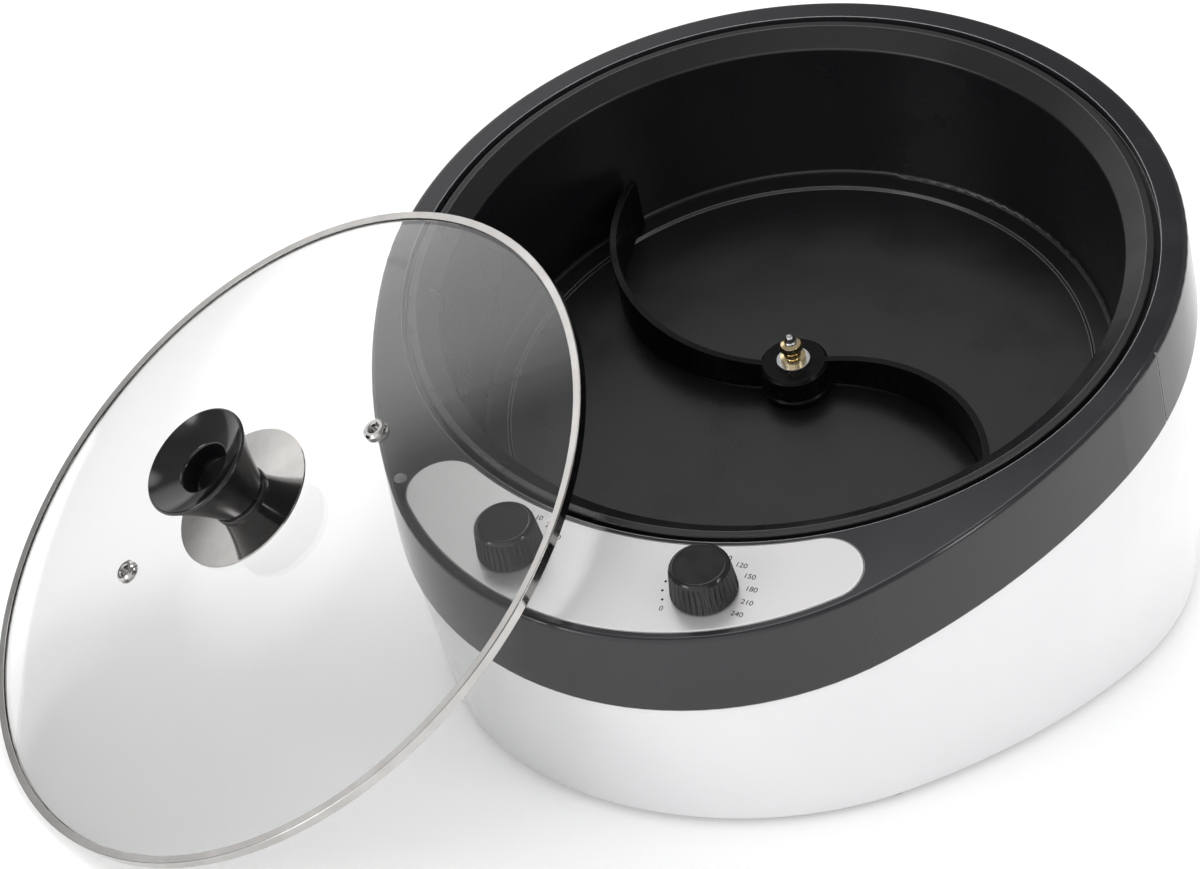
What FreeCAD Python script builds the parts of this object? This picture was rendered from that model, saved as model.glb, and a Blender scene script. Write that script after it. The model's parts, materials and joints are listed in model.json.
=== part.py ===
import FreeCAD, Part
import math
import os
import Sketcher
from FreeCAD import Placement, Rotation, Vector

# Home coffee bean roaster: a round non-stick pan with a stirring blade, in an egg-shaped housing
# whose deck slopes down to the front, and a loose glass lid that leans against it.
#
# Three frames are used, all in millimetres:
#   worktop  +Z up, z = 0 on the worktop, -Y to the front, below the middle of the pan
#   deck     origin in the middle of the pan's inner edge, +Z along the pan's axis, tilted forward
#   lid      origin in the middle of the lid's rim, +Z along the lid's axis towards its knob

DRIVING = {
    # where the pan's axis crosses the rim, seen from the middle of the whole footprint
    "axis_x": 59.88,
    "axis_y": 29.28,
    # pan
    "pan_radius": 135.0,
    "pan_depth": 65.4,
    "pan_wall": 1.6,
    "pan_draft": 5.0,
    "floor_ring": 10.6,
    "floor_step": 1.0,
    "ledge_width": 8.4,
    "ledge_rise": 6.2,
    "lip_width": 3.0,
    "lip_drop": 4.2,
    # deck and its skirt
    "deck_tilt": 18.0,
    "deck_rise": 6.5,
    "deck_plate": 2.5,
    "deck_round": 1.8,
    "groove_width": 2.6,
    "seat_width": 4.4,
    "rim_wall": 2.5,
    "ring_width": 10.0,
    "nose_taper": 35.0,
    "nose_shift": 73.5,
    "flank_extra": 148.0,
    "skirt_height": 36.0,
    "skirt_flare": 2.5,
    "frame_wall": 2.5,
    "seam_angle": 84.0,
    "seam_width": 0.8,
    "seam_depth": 0.6,
    "boss_radius": 4.0,
    "boss_inset": 4.7,
    "boss_front_angle": 62.0,
    "boss_back_angle": 38.0,
    "screw_radius": 1.4,
    "screw_gap": 0.05,
    # lower housing
    "housing_inset": 1.0,
    "housing_wall": 2.5,
    "housing_draft": 1.5,
    "shelf_width": 11.5,
    "shelf_thick": 3.5,
    "tongue_height": 5.0,
    "tongue_wall": 1.8,
    "tongue_gap": 0.5,
    "post_radius": 5.0,
    "post_height": 12.0,
    "post_front_inset": 14.0,
    "post_back_inset": 19.0,
    "post_front_angle": 50.0,
    "post_back_angle": 52.0,
    "rib_height": 6.0,
    "rib_thick": 2.4,
    # base
    "foot_height": 3.0,
    "foot_radius": 10.0,
    "foot_recess": 1.6,
    "base_thick": 2.0,
    "base_gap": 0.3,
    "vent_length": 46.0,
    "vent_width": 3.2,
    "vent_pitch": 9.0,
    "inlet_height": 28.0,
    "inlet_radius": 7.0,
    "inlet_bore": 3.4,
    # heating and what is under the pan
    "element_space": 17.8,
    "element_radius": 88.0,
    "element_tube": 4.0,
    "element_gap": 20.0,
    "shield_gap": 6.5,
    "shield_wall": 0.8,
    "shield_flange": 8.5,
    "bush_radius": 6.2,
    "bush_flange": 11.0,
    "bush_cap": 1.8,
    "bush_nut": 4.4,
    "sleeve_radius": 9.0,
    # drive
    "shaft_radius": 4.5,
    "shaft_gap": 0.06,
    "coupling_radius": 8.0,
    "coupling_length": 9.0,
    "standoff_radius": 4.0,
    "standoff_circle": 25.0,
    "standoff_length": 17.4,
    "gearbox_radius": 32.0,
    "gearbox_height": 14.0,
    "motor_radius": 27.0,
    "motor_length": 21.0,
    "motor_clearance": 10.4,
    # stirrer
    "sweep_gap": 1.5,
    "hub_radius": 13.8,
    "hub_height": 14.6,
    "tip_height": 28.0,
    "blade_thick": 2.6,
    "arm_radius": 73.0,
    "arm_heading": 23.0,
    "arm_sweep": 119.0,
    "nut_radius": 5.2,
    # controls
    "dial_offset": 23.2,
    "dial_angle": 12.8,
    "knob_radius": 12.5,
    "knob_taper": 1.3,
    "knob_height": 13.8,
    "knob_gap": 0.5,
    "dial_bevel": 1.4,
    "flute_radius": 0.85,
    "spindle_radius": 3.0,
    "spindle_gap": 0.05,
    "bushing_radius": 4.9,
    "dial_nut": 2.0,
    "timer_radius": 16.0,
    "timer_depth": 30.0,
    "stat_radius": 14.0,
    "stat_depth": 24.0,
    "bulb_length": 56.0,
    "panel_inset": 4.0,
    "panel_margin": 2.0,
    "panel_end": 14.5,
    "panel_thick": 1.5,
    "panel_proud": 0.3,
    "lamp_angle": 52.4,
    "lamp_inset": 4.7,
    "lamp_radius": 1.8,
    # lid
    "lid_gap": 1.2,
    "glass_thick": 3.2,
    "dome_rise": 20.1,
    "band_width": 4.0,
    "band_wall": 0.5,
    "vent_circle": 60.5,
    "vent_bearing": 58.5,
    "vent_radius": 4.6,
    "plate_radius": 30.0,
    "plate_thick": 0.8,
    "grip_base": 12.6,
    "grip_foot": 1.4,
    "grip_neck": 11.4,
    "grip_top": 23.3,
    "grip_lip": 1.2,
    "grip_dish": 10.2,
    "dish_drop": 5.0,
    "dish_depth": 14.0,
    "grip_height": 27.2,
    # how the lid stands: its bearing from the pan, the way it faces and its lean
    "lid_bearing": 44.48,
    "lid_heading": 32.46,
    "lid_lean": 38.42,
    "lid_touch": 3.4,
}
SHEET = "sizes"
FLUTE_COUNT = 24
CLAMP_COUNT = 3
STANDOFF_COUNT = 3
VENT_COUNT = 9


class Size:
    """A length or an angle that knows both its value and the sheet expression that gives it."""

    def __init__(self, value, text=None):
        self.value = float(value)
        self.text = text if text else repr(float(value))

    def _join(self, other, sign, value):
        return Size(value, f"({self.text} {sign} {other.text})")

    def __add__(self, other):
        other = as_size(other)
        return self._join(other, "+", self.value + other.value)

    def __sub__(self, other):
        other = as_size(other)
        return self._join(other, "-", self.value - other.value)

    def __mul__(self, other):
        other = as_size(other)
        return self._join(other, "*", self.value * other.value)

    def __truediv__(self, other):
        other = as_size(other)
        return self._join(other, "/", self.value / other.value)

    def __neg__(self):
        return Size(-self.value, f"(0 - {self.text})")

    def __radd__(self, other):
        return as_size(other) + self

    def __rsub__(self, other):
        return as_size(other) - self

    def __rmul__(self, other):
        return as_size(other) * self


def as_size(number):
    return number if isinstance(number, Size) else Size(number)


def sine(angle):
    return Size(math.sin(math.radians(angle.value)), f"sin({angle.text})")


def cosine(angle):
    return Size(math.cos(math.radians(angle.value)), f"cos({angle.text})")


def tangent(angle):
    return Size(math.tan(math.radians(angle.value)), f"tan({angle.text})")


def slope_angle(rise, run):
    """The angle in degrees whose tangent is rise over run."""
    ratio = rise / run
    return Size(math.degrees(math.atan(ratio.value)), f"atan({ratio.text})")


def root(square):
    return Size(math.sqrt(square.value), f"sqrt({square.text})")


class Driving:
    """The driving dimensions by name, each one tied to its cell."""

    def __getattr__(self, name):
        return Size(DRIVING[name], f"{SHEET}.{name}")


S = Driving()
ZERO = Size(0)

# Radii about the pan's axis, from the pan outwards
LEDGE_RADIUS = S.pan_radius + S.ledge_width
LIP_RADIUS = LEDGE_RADIUS + S.lip_width
OPENING_RADIUS = LIP_RADIUS + S.groove_width
SEAT_RADIUS = LIP_RADIUS - S.seat_width
BACK_RADIUS = OPENING_RADIUS + S.ring_width
NOSE_RADIUS = BACK_RADIUS - S.nose_taper
FLANK_RADIUS = BACK_RADIUS + S.flank_extra
SHIELD_RADIUS = S.pan_radius + S.shield_gap

# Heights along the pan's axis, from its inner edge
DECK_TOP = S.deck_rise
DECK_UNDER = DECK_TOP - S.deck_plate
LIP_BOTTOM = S.ledge_rise - S.lip_drop
SEAT_UNDER = LIP_BOTTOM - S.rim_wall
SKIRT_BOTTOM = DECK_TOP - S.skirt_height
PAN_FLOOR = -S.pan_depth
PAN_UNDER = PAN_FLOOR - S.pan_wall
SHIELD_TOP = PAN_UNDER - S.element_space
SHIELD_UNDER = SHIELD_TOP - S.shield_wall
NUT_UNDER = SHIELD_UNDER - S.bush_nut
BUSH_END = NUT_UNDER - 1.5
COUPLING_TOP = BUSH_END - 1.0
COUPLING_UNDER = COUPLING_TOP - S.coupling_length
GEARBOX_TOP = SHIELD_UNDER - S.standoff_length
GEARBOX_UNDER = GEARBOX_TOP - S.gearbox_height
MOTOR_UNDER = GEARBOX_UNDER - S.motor_length

# Heights above the worktop
BASE_TOP = S.foot_height + S.base_thick
DECK_HEIGHT = (
    BASE_TOP
    + S.motor_clearance
    - MOTOR_UNDER * cosine(S.deck_tilt)
    + S.motor_radius * sine(S.deck_tilt)
)

doc = FreeCAD.newDocument("coffee_roaster")
sheet = doc.addObject("Spreadsheet::Sheet", SHEET)
for row, (alias, number) in enumerate(DRIVING.items(), start=1):
    sheet.set(f"A{row}", alias)
    sheet.set(f"B{row}", repr(number))
    sheet.setAlias(f"B{row}", alias)
doc.recompute()

bodies = []


# ---------------------------------------------------------------- frames and bodies


def new_body(name):
    """A PartDesign body whose label is the name of its node."""
    body = doc.addObject("PartDesign::Body", name)
    body.AllowCompound = True
    bodies.append(body)
    return body


def move_to(body, x, y, z):
    body.setExpression("Placement.Base.x", x.text)
    body.setExpression("Placement.Base.y", y.text)
    body.setExpression("Placement.Base.z", z.text)


def deck_to_worktop(x, y, z):
    """A point of the deck frame in the worktop frame."""
    tilt = S.deck_tilt
    return (
        as_size(x),
        y * cosine(tilt) - z * sine(tilt),
        DECK_HEIGHT + y * sine(tilt) + z * cosine(tilt),
    )


def on_worktop(body):
    move_to(body, S.axis_x, S.axis_y, ZERO)


def on_deck(body, x=ZERO, y=ZERO, z=ZERO):
    """Stands a body on the tilted deck, with its origin at a point of the deck frame."""
    px, py, pz = deck_to_worktop(x, y, z)
    body.Placement = Placement(Vector(0, 0, 0), Rotation(Vector(1, 0, 0), S.deck_tilt.value))
    body.setExpression("Placement.Rotation.Angle", S.deck_tilt.text)
    move_to(body, S.axis_x + px, S.axis_y + py, pz)


def origin_plane(body, role):
    for feature in body.Origin.OriginFeatures:
        if feature.Role == role:
            return feature
    raise ValueError(f"{body.Label} has no {role}")


# ---------------------------------------------------------------- sketches


def new_sketch(body, name, role="XY_Plane", lift=ZERO):
    """A sketch on one of the body's own origin planes, lifted along that plane's normal."""
    sketch = body.newObject("Sketcher::SketchObject", name)
    sketch.AttachmentSupport = (origin_plane(body, role), "")
    sketch.MapMode = "FlatFace"
    sketch.AttachmentOffset = Placement(Vector(0, 0, lift.value), Rotation())
    sketch.setExpression("AttachmentOffset.Base.z", lift.text)
    return sketch


def new_level_sketch(body, name, height):
    """A sketch parallel to the worktop, at a height above it, in a body that stands on the deck.

    Its own x and y are those of the worktop frame.
    """
    sketch = new_sketch(body, name)
    drop = height - DECK_HEIGHT
    y, z = drop * sine(S.deck_tilt), drop * cosine(S.deck_tilt)
    turn = Rotation(Vector(-1, 0, 0), S.deck_tilt.value)
    sketch.AttachmentOffset = Placement(Vector(0, y.value, z.value), turn)
    sketch.setExpression("AttachmentOffset.Rotation.Angle", S.deck_tilt.text)
    sketch.setExpression("AttachmentOffset.Base.y", y.text)
    sketch.setExpression("AttachmentOffset.Base.z", z.text)
    return sketch


def constrain(sketch, kind, *where):
    """Adds a constraint; a Size at its end gives its value and its expression."""
    if isinstance(where[-1], Size):
        size = where[-1]
        index = sketch.addConstraint(Sketcher.Constraint(kind, *where[:-1], size.value))
        sketch.setExpression(f"Constraints[{index}]", size.text)
    else:
        sketch.addConstraint(Sketcher.Constraint(kind, *where))


def locate(sketch, geometry, vertex, x, y):
    """Fixes a point of the sketch at x, y from its origin. None leaves that way free."""
    for size, kind, axis in ((x, "DistanceX", -2), (y, "DistanceY", -1)):
        if size is None:
            continue
        if abs(size.value) < 1e-7:
            constrain(sketch, "PointOnObject", geometry, vertex, axis)
        elif size.value > 0:
            constrain(sketch, kind, -1, 1, geometry, vertex, size)
        else:
            constrain(sketch, kind, geometry, vertex, -1, 1, -size)


def circle_arc(centre, radius, start, end):
    """An arc that runs counter-clockwise about its centre from one point to another."""
    ring = Part.Circle(centre, Vector(0, 0, 1), radius)
    first = math.atan2(start.y - centre.y, start.x - centre.x)
    last = math.atan2(end.y - centre.y, end.x - centre.x)
    if last <= first:
        last += 2 * math.pi
    return Part.ArcOfCircle(ring, first, last)


def touch_point(one, other):
    """Where two arcs of a smooth outline meet; each is (centre, radius, turn)."""
    (centre, radius, turn), (next_centre, next_radius, next_turn) = one, other
    outward = next_centre - centre
    if turn == next_turn and radius.value < next_radius.value:
        outward = -outward
    return centre + outward.normalize() * radius.value


def smooth_outline(sketch, arcs):
    """A closed outline of tangent arcs, each given as (centre, radius, turn)."""
    count = len(arcs)
    joints = [touch_point(arcs[i], arcs[(i + 1) % count]) for i in range(count)]
    ends = []
    for i, (centre, radius, turn) in enumerate(arcs):
        start, end = joints[i - 1], joints[i]
        if turn > 0:
            index = sketch.addGeometry(circle_arc(centre, radius.value, start, end))
            ends.append((index, 1, 2))
        else:
            index = sketch.addGeometry(circle_arc(centre, radius.value, end, start))
            ends.append((index, 2, 1))
    for i in range(count):
        this, after = ends[i], ends[(i + 1) % count]
        constrain(sketch, "Tangent", this[0], this[2], after[0], after[1])
    for (index, _, _), (_, radius, _) in zip(ends, arcs):
        constrain(sketch, "Radius", index, radius)
    return [index for index, _, _ in ends]


def egg_outline(sketch, offset=ZERO):
    """The deck's egg: a back arc about the pan's axis, a nose arc in front and two flanks."""
    back = BACK_RADIUS + offset
    nose = NOSE_RADIUS + offset
    flank = FLANK_RADIUS + offset
    shift = S.nose_shift.value
    to_back = (flank - back).value
    to_nose = (flank - nose).value
    flank_y = (to_nose**2 - to_back**2 - shift**2) / (2 * shift)
    flank_x = math.sqrt(to_back**2 - flank_y**2)
    arcs = [
        (Vector(0, 0, 0), back, 1),
        (Vector(flank_x, flank_y, 0), flank, 1),
        (Vector(0, -shift, 0), nose, 1),
        (Vector(-flank_x, flank_y, 0), flank, 1),
    ]
    back_arc, _, nose_arc, _ = smooth_outline(sketch, arcs)
    locate(sketch, back_arc, 3, ZERO, ZERO)
    locate(sketch, nose_arc, 3, ZERO, -S.nose_shift)


def panel_outline(sketch, gap):
    """The control panel's crescent, between the pan's opening and the nose, less a gap."""
    outer = NOSE_RADIUS - S.panel_inset - gap
    inner = OPENING_RADIUS + S.panel_margin + gap
    end = S.panel_end - gap
    shift = S.nose_shift.value
    from_nose = (outer - end).value
    from_pan = (inner + end).value
    end_y = (from_nose**2 - from_pan**2 - shift**2) / (2 * shift)
    end_x = math.sqrt(from_pan**2 - end_y**2)
    arcs = [
        (Vector(0, -shift, 0), outer, 1),
        (Vector(end_x, end_y, 0), end, 1),
        (Vector(0, 0, 0), inner, -1),
        (Vector(-end_x, end_y, 0), end, 1),
    ]
    outer_arc, _, inner_arc, _ = smooth_outline(sketch, arcs)
    locate(sketch, inner_arc, 3, ZERO, ZERO)
    locate(sketch, outer_arc, 3, ZERO, -S.nose_shift)


def circles(sketch, radius, centres):
    for x, y in centres:
        x, y = as_size(x), as_size(y)
        ring = Part.Circle(Vector(x.value, y.value, 0), Vector(0, 0, 1), radius.value)
        index = sketch.addGeometry(ring)
        locate(sketch, index, 3, x, y)
        constrain(sketch, "Radius", index, radius)


def bend_centre(start, end, radius, turn):
    """The centre of an arc of up to half a circle from one point to another."""
    run = end - start
    rise = math.sqrt(max(radius**2 - run.Length**2 / 4, 0.0))
    aside = Vector(-run.y, run.x, 0).normalize()
    return (start + end) / 2 + aside * rise * turn


def profile(sketch, points, arcs=None):
    """A closed outline through points; arcs maps a point's number to the bend that leaves it.

    Each bend is (radius, turn), with turn 1 counter-clockwise and -1 clockwise.
    """
    arcs = arcs or {}
    points = [(as_size(x), as_size(y)) for x, y in points]
    count = len(points)
    ends = []
    for i in range(count):
        start = Vector(points[i][0].value, points[i][1].value, 0)
        after = points[(i + 1) % count]
        end = Vector(after[0].value, after[1].value, 0)
        if i not in arcs:
            index = sketch.addGeometry(Part.LineSegment(start, end))
            ends.append((index, 1, 2))
            continue
        radius, turn = as_size(arcs[i][0]), arcs[i][1]
        centre = bend_centre(start, end, radius.value, turn)
        if turn > 0:
            index = sketch.addGeometry(circle_arc(centre, radius.value, start, end))
            ends.append((index, 1, 2))
        else:
            index = sketch.addGeometry(circle_arc(centre, radius.value, end, start))
            ends.append((index, 2, 1))
        if start.distanceToPoint(end) < 2 * radius.value - 1e-6:
            constrain(sketch, "Radius", index, radius)
        elif abs(start.y - end.y) < 1e-6:
            locate(sketch, index, 3, None, (points[i][1] + after[1]) / 2)
        else:
            locate(sketch, index, 3, (points[i][0] + after[0]) / 2, None)
    for i in range(count):
        this, after = ends[i], ends[(i + 1) % count]
        constrain(sketch, "Coincident", this[0], this[2], after[0], after[1])
    for (index, start, _), (x, y) in zip(ends, points):
        locate(sketch, index, start, x, y)


def rectangle(sketch, x0, x1, y0, y1):
    profile(sketch, [(x0, y0), (x1, y0), (x1, y1), (x0, y1)])


def hexagon(sketch, across_corners, centres=((ZERO, ZERO),)):
    """Hexagons with a given radius to their corners."""
    for x, y in centres:
        points = []
        for k in range(6):
            turn = math.radians(60 * k + 30)
            points.append((x + across_corners * math.cos(turn), y + across_corners * math.sin(turn)))
        profile(sketch, points)


# ---------------------------------------------------------------- features


def pad(body, name, sketch, length, down=False, draft=None):
    feature = body.newObject("PartDesign::Pad", name)
    feature.Profile = sketch
    feature.Reversed = down
    feature.setExpression("Length", as_size(length).text)
    if draft:
        feature.setExpression("TaperAngle", draft.text)
    sketch.Visibility = False
    return feature


def pocket(body, name, sketch, depth, up=False, draft=None):
    """Cuts down from the sketch, or up from it, and checks that it took material away."""
    doc.recompute()
    before = body.Shape.Volume
    feature = body.newObject("PartDesign::Pocket", name)
    feature.Profile = sketch
    feature.Reversed = up
    feature.setExpression("Length", as_size(depth).text)
    if draft:
        feature.setExpression("TaperAngle", draft.text)
    doc.recompute()
    if body.Shape.Volume >= before:
        raise ValueError(f"{body.Label}: {name} cuts nothing")
    return feature


def revolve(body, name, sketch, angle=360.0):
    feature = body.newObject("PartDesign::Revolution", name)
    feature.Profile = sketch
    feature.ReferenceAxis = (sketch, ["V_Axis"])
    feature.Angle = angle
    return feature


def groove(body, name, sketch):
    doc.recompute()
    before = body.Shape.Volume
    feature = body.newObject("PartDesign::Groove", name)
    feature.Profile = sketch
    feature.ReferenceAxis = (sketch, ["V_Axis"])
    feature.Angle = 360.0
    doc.recompute()
    if body.Shape.Volume >= before:
        raise ValueError(f"{body.Label}: {name} cuts nothing")
    return feature


def polar_copies(body, name, feature, count):
    """Repeats a feature evenly around the body's own Z axis."""
    pattern = body.newObject("PartDesign::PolarPattern", name)
    pattern.Originals = [feature]
    pattern.Axis = (origin_plane(body, "Z_Axis"), [""])
    pattern.Angle = 360.0
    pattern.Occurrences = count
    body.Tip = pattern
    doc.recompute()
    return pattern


def round_edges(body, name, radius, wanted):
    """Fillets the edges of the body's last feature that a test picks."""
    doc.recompute()
    base = body.Tip
    edges = [f"Edge{i}" for i, edge in enumerate(base.Shape.Edges, start=1) if wanted(edge)]
    if not edges:
        raise ValueError(f"{body.Label}: no edge for {name}")
    feature = body.newObject("PartDesign::Fillet", name)
    feature.Base = (base, edges)
    feature.setExpression("Radius", as_size(radius).text)
    doc.recompute()
    return feature


def all_at_height(z):
    def wanted(edge):
        box = edge.BoundBox
        return abs(box.ZMin - z.value) < 1e-4 and abs(box.ZMax - z.value) < 1e-4

    return wanted


def pad_circles(body, name, radius, centres, bottom, top):
    """Round pegs of one radius from one height to another."""
    sketch = new_sketch(body, f"{name}_sketch", lift=bottom)
    circles(sketch, as_size(radius), centres)
    return pad(body, name, sketch, top - bottom)


def cut_circles(body, name, radius, centres, bottom, top):
    sketch = new_sketch(body, f"{name}_sketch", lift=as_size(top))
    circles(sketch, as_size(radius), centres)
    return pocket(body, name, sketch, as_size(top) - bottom)


def turned(body, name, points, arcs=None):
    """A solid of revolution about the body's Z axis from a half section (radius, height)."""
    sketch = new_sketch(body, f"{name}_sketch", role="XZ_Plane")
    profile(sketch, points, arcs)
    return revolve(body, name, sketch)


def tube(body, name, inner, outer, bottom, top):
    turned(body, name, [(inner, bottom), (outer, bottom), (outer, top), (inner, top)])


# ---------------------------------------------------------------- places that pieces share


def polar(radius, angle, centre_y=ZERO):
    """A point at a radius and an angle from the front, about a centre on the Y axis."""
    radius, angle = as_size(radius), as_size(angle)
    return radius * sine(angle), centre_y - radius * cosine(angle)


def both_sides(x, y):
    return [(x, y), (-x, y)]


DIAL_X, DIAL_Y = polar(OPENING_RADIUS + S.dial_offset, S.dial_angle)
LAMP_X, LAMP_Y = polar(NOSE_RADIUS - S.lamp_inset, S.lamp_angle, -S.nose_shift)
FRAME_SCREWS = both_sides(
    *polar(NOSE_RADIUS - S.boss_inset, S.boss_front_angle, -S.nose_shift)
) + both_sides(*polar(BACK_RADIUS - S.boss_inset, 180 - S.boss_back_angle))
PANEL_UNDER = DECK_TOP + S.panel_proud - S.panel_thick
PANEL_TOP = DECK_TOP + S.panel_proud
KNOB_UNDER = PANEL_TOP + S.knob_gap
KNOB_TOP = KNOB_UNDER + S.knob_height
HOUSING_OFFSET = S.skirt_flare - S.housing_inset
HOUSING_DEPTH = Size(260)
WORK_AREA = Size(600)


def above_worktop(x, y, height):
    """Where a line along the pan's axis through a point of the deck meets a level plane."""
    tilt = S.deck_tilt
    return x, y / cosine(tilt) + (DECK_HEIGHT - height) * tangent(tilt)


def wall_inset(y, height):
    """How far inside the egg the middle of the housing's wall lies at a height."""
    tilt = S.deck_tilt
    z = (height - DECK_HEIGHT - y * sine(tilt)) / cosine(tilt)
    return S.housing_wall / 2 - HOUSING_OFFSET + (SKIRT_BOTTOM - z) * tangent(S.housing_draft)


def post_places():
    """The four base screws, each with the end of the rib that ties its post to the wall."""
    rib_middle = BASE_TOP + S.rib_height / 2
    corners = (
        (NOSE_RADIUS, S.post_front_angle, -S.nose_shift, S.post_front_inset),
        (BACK_RADIUS, 180 - S.post_back_angle, ZERO, S.post_back_inset),
    )
    places = []
    for radius, angle, centre_y, inset in corners:
        post = above_worktop(*polar(radius - inset, angle, centre_y), BASE_TOP)
        _, wall_y = polar(radius, angle, centre_y)
        wall = polar(radius - wall_inset(wall_y, rib_middle), angle, centre_y)
        rib = above_worktop(*wall, rib_middle)
        places.append((post, rib))
        places.append(((-post[0], post[1]), (-rib[0], rib[1])))
    return places


POSTS = post_places()
BASE_SCREWS = [post for post, _ in POSTS]


# ---------------------------------------------------------------- housing


def make_top_frame():
    body = new_body("top_frame")
    on_deck(body)
    flare = slope_angle(S.skirt_flare, S.skirt_height)
    outline = new_sketch(body, "deck_outline", lift=DECK_TOP)
    egg_outline(outline)
    pad(body, "deck_and_skirt", outline, S.skirt_height, down=True, draft=flare)
    round_edges(body, "deck_edge", S.deck_round, all_at_height(DECK_TOP))
    hollow = new_sketch(body, "hollow_outline", lift=DECK_UNDER)
    egg_outline(hollow, -S.frame_wall)
    pocket(body, "hollow", hollow, S.skirt_height - S.deck_plate, draft=flare)
    cut_circles(body, "opening", OPENING_RADIUS, [(ZERO, ZERO)], DECK_UNDER, DECK_TOP)
    outer = OPENING_RADIUS + S.rim_wall
    middle = DECK_UNDER + S.deck_plate / 2
    seat = [
        (SEAT_RADIUS, SEAT_UNDER),
        (outer, SEAT_UNDER),
        (outer, middle),
        (OPENING_RADIUS, middle),
        (OPENING_RADIUS, LIP_BOTTOM),
        (SEAT_RADIUS, LIP_BOTTOM),
    ]
    turned(body, "pan_seat", seat)
    recess = new_sketch(body, "panel_recess_outline", lift=DECK_TOP)
    panel_outline(recess, Size(-0.2))
    pocket(body, "panel_recess", recess, DECK_TOP - PANEL_UNDER)
    dials = both_sides(DIAL_X, DIAL_Y)
    cut_circles(body, "dial_holes", S.bushing_radius + 0.3, dials, DECK_UNDER, DECK_TOP)
    lamp = [(-LAMP_X, LAMP_Y)]
    cut_circles(body, "lamp_hole", S.lamp_radius + 0.1, lamp, DECK_UNDER, DECK_TOP)
    pad_circles(body, "screw_bosses", S.boss_radius, FRAME_SCREWS, SKIRT_BOTTOM, DECK_UNDER + 0.5)
    pilot = S.screw_radius + S.screw_gap
    cut_circles(body, "boss_pilots", pilot, FRAME_SCREWS, SKIRT_BOTTOM, SKIRT_BOTTOM + 12)
    cut_circles(body, "shield_pilots", pilot, SHIELD_SCREWS, SEAT_UNDER, SEAT_UNDER + 2)
    cut_seams(body)


def cut_seams(body):
    """A thin groove down each side of the skirt, where its front and back mouldings meet."""
    sketch = new_sketch(body, "seam_sketch", role="XZ_Plane")
    turn = 90 - S.seam_angle
    sketch.AttachmentOffset = Placement(Vector(0, 0, 0), Rotation(Vector(0, -1, 0), turn.value))
    sketch.setExpression("AttachmentOffset.Rotation.Angle", turn.text)
    top, bottom = DECK_TOP + 1, SKIRT_BOTTOM - 1
    flare = S.skirt_flare / S.skirt_height
    high = BACK_RADIUS - flare - S.seam_depth
    low = BACK_RADIUS + S.skirt_flare + flare - S.seam_depth
    profile(sketch, [(high, top), (high + 2, top), (low + 2, bottom), (low, bottom)])
    seam = pocket(body, "right_seam", sketch, S.seam_width)
    seam.SideType = "Symmetric"
    mirror = body.newObject("PartDesign::Mirrored", "left_seam")
    mirror.Originals = [seam]
    mirror.MirrorPlane = (origin_plane(body, "YZ_Plane"), [""])
    body.Tip = mirror


def make_lower_housing():
    body = new_body("lower_housing")
    on_deck(body)
    outline = new_sketch(body, "wall_outline", lift=SKIRT_BOTTOM)
    egg_outline(outline, HOUSING_OFFSET)
    pad(body, "wall", outline, HOUSING_DEPTH, down=True, draft=-S.housing_draft)
    shelf_under = SKIRT_BOTTOM - S.shelf_thick
    hollow = new_sketch(body, "hollow_outline", lift=shelf_under)
    shrink = S.shelf_thick * tangent(S.housing_draft)
    egg_outline(hollow, HOUSING_OFFSET - S.housing_wall - shrink)
    pocket(body, "hollow", hollow, HOUSING_DEPTH, draft=-S.housing_draft)
    shelf = new_sketch(body, "shelf_edge", lift=SKIRT_BOTTOM)
    egg_outline(shelf, HOUSING_OFFSET - S.shelf_width)
    pocket(body, "shelf_opening", shelf, S.shelf_thick)
    tongue_outer = -S.frame_wall + S.skirt_flare - S.deck_plate * S.skirt_flare / S.skirt_height
    tongue_outer = tongue_outer - S.tongue_gap
    tongue = new_sketch(body, "tongue_outline", lift=SKIRT_BOTTOM - 0.5)
    egg_outline(tongue, tongue_outer)
    egg_outline(tongue, tongue_outer - S.tongue_wall)
    pad(body, "tongue", tongue, S.tongue_height + 0.5)
    notch = S.boss_radius + 0.4
    notch_top = SKIRT_BOTTOM + S.tongue_height
    cut_circles(body, "boss_notches", notch, FRAME_SCREWS, SKIRT_BOTTOM, notch_top)
    through = S.screw_radius + 0.3
    cut_circles(body, "frame_screw_holes", through, FRAME_SCREWS, shelf_under, SKIRT_BOTTOM)
    below = new_level_sketch(body, "below_base", S.foot_height)
    rectangle(below, -WORK_AREA, WORK_AREA, -WORK_AREA, WORK_AREA)
    pocket(body, "base_cut", below, WORK_AREA)
    posts = new_level_sketch(body, "post_outlines", BASE_TOP)
    circles(posts, S.post_radius, BASE_SCREWS)
    pad(body, "posts", posts, S.post_height)
    for number, (post, rib_end) in enumerate(POSTS, start=1):
        rib = new_level_sketch(body, f"rib_{number}_outline", BASE_TOP)
        strip(rib, post, rib_end, S.rib_thick)
        pad(body, f"rib_{number}", rib, S.rib_height)
    pilots = new_level_sketch(body, "post_pilot_outlines", BASE_TOP)
    circles(pilots, S.screw_radius + S.screw_gap, BASE_SCREWS)
    pocket(body, "post_pilots", pilots, S.post_height - 2, up=True)
    inlet = new_sketch(body, "inlet_outline", role="XZ_Plane")
    circles(inlet, S.inlet_radius + 0.1, [(ZERO, INLET_Z)])
    pocket(body, "inlet_hole", inlet, BACK_RADIUS + 20)


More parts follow.
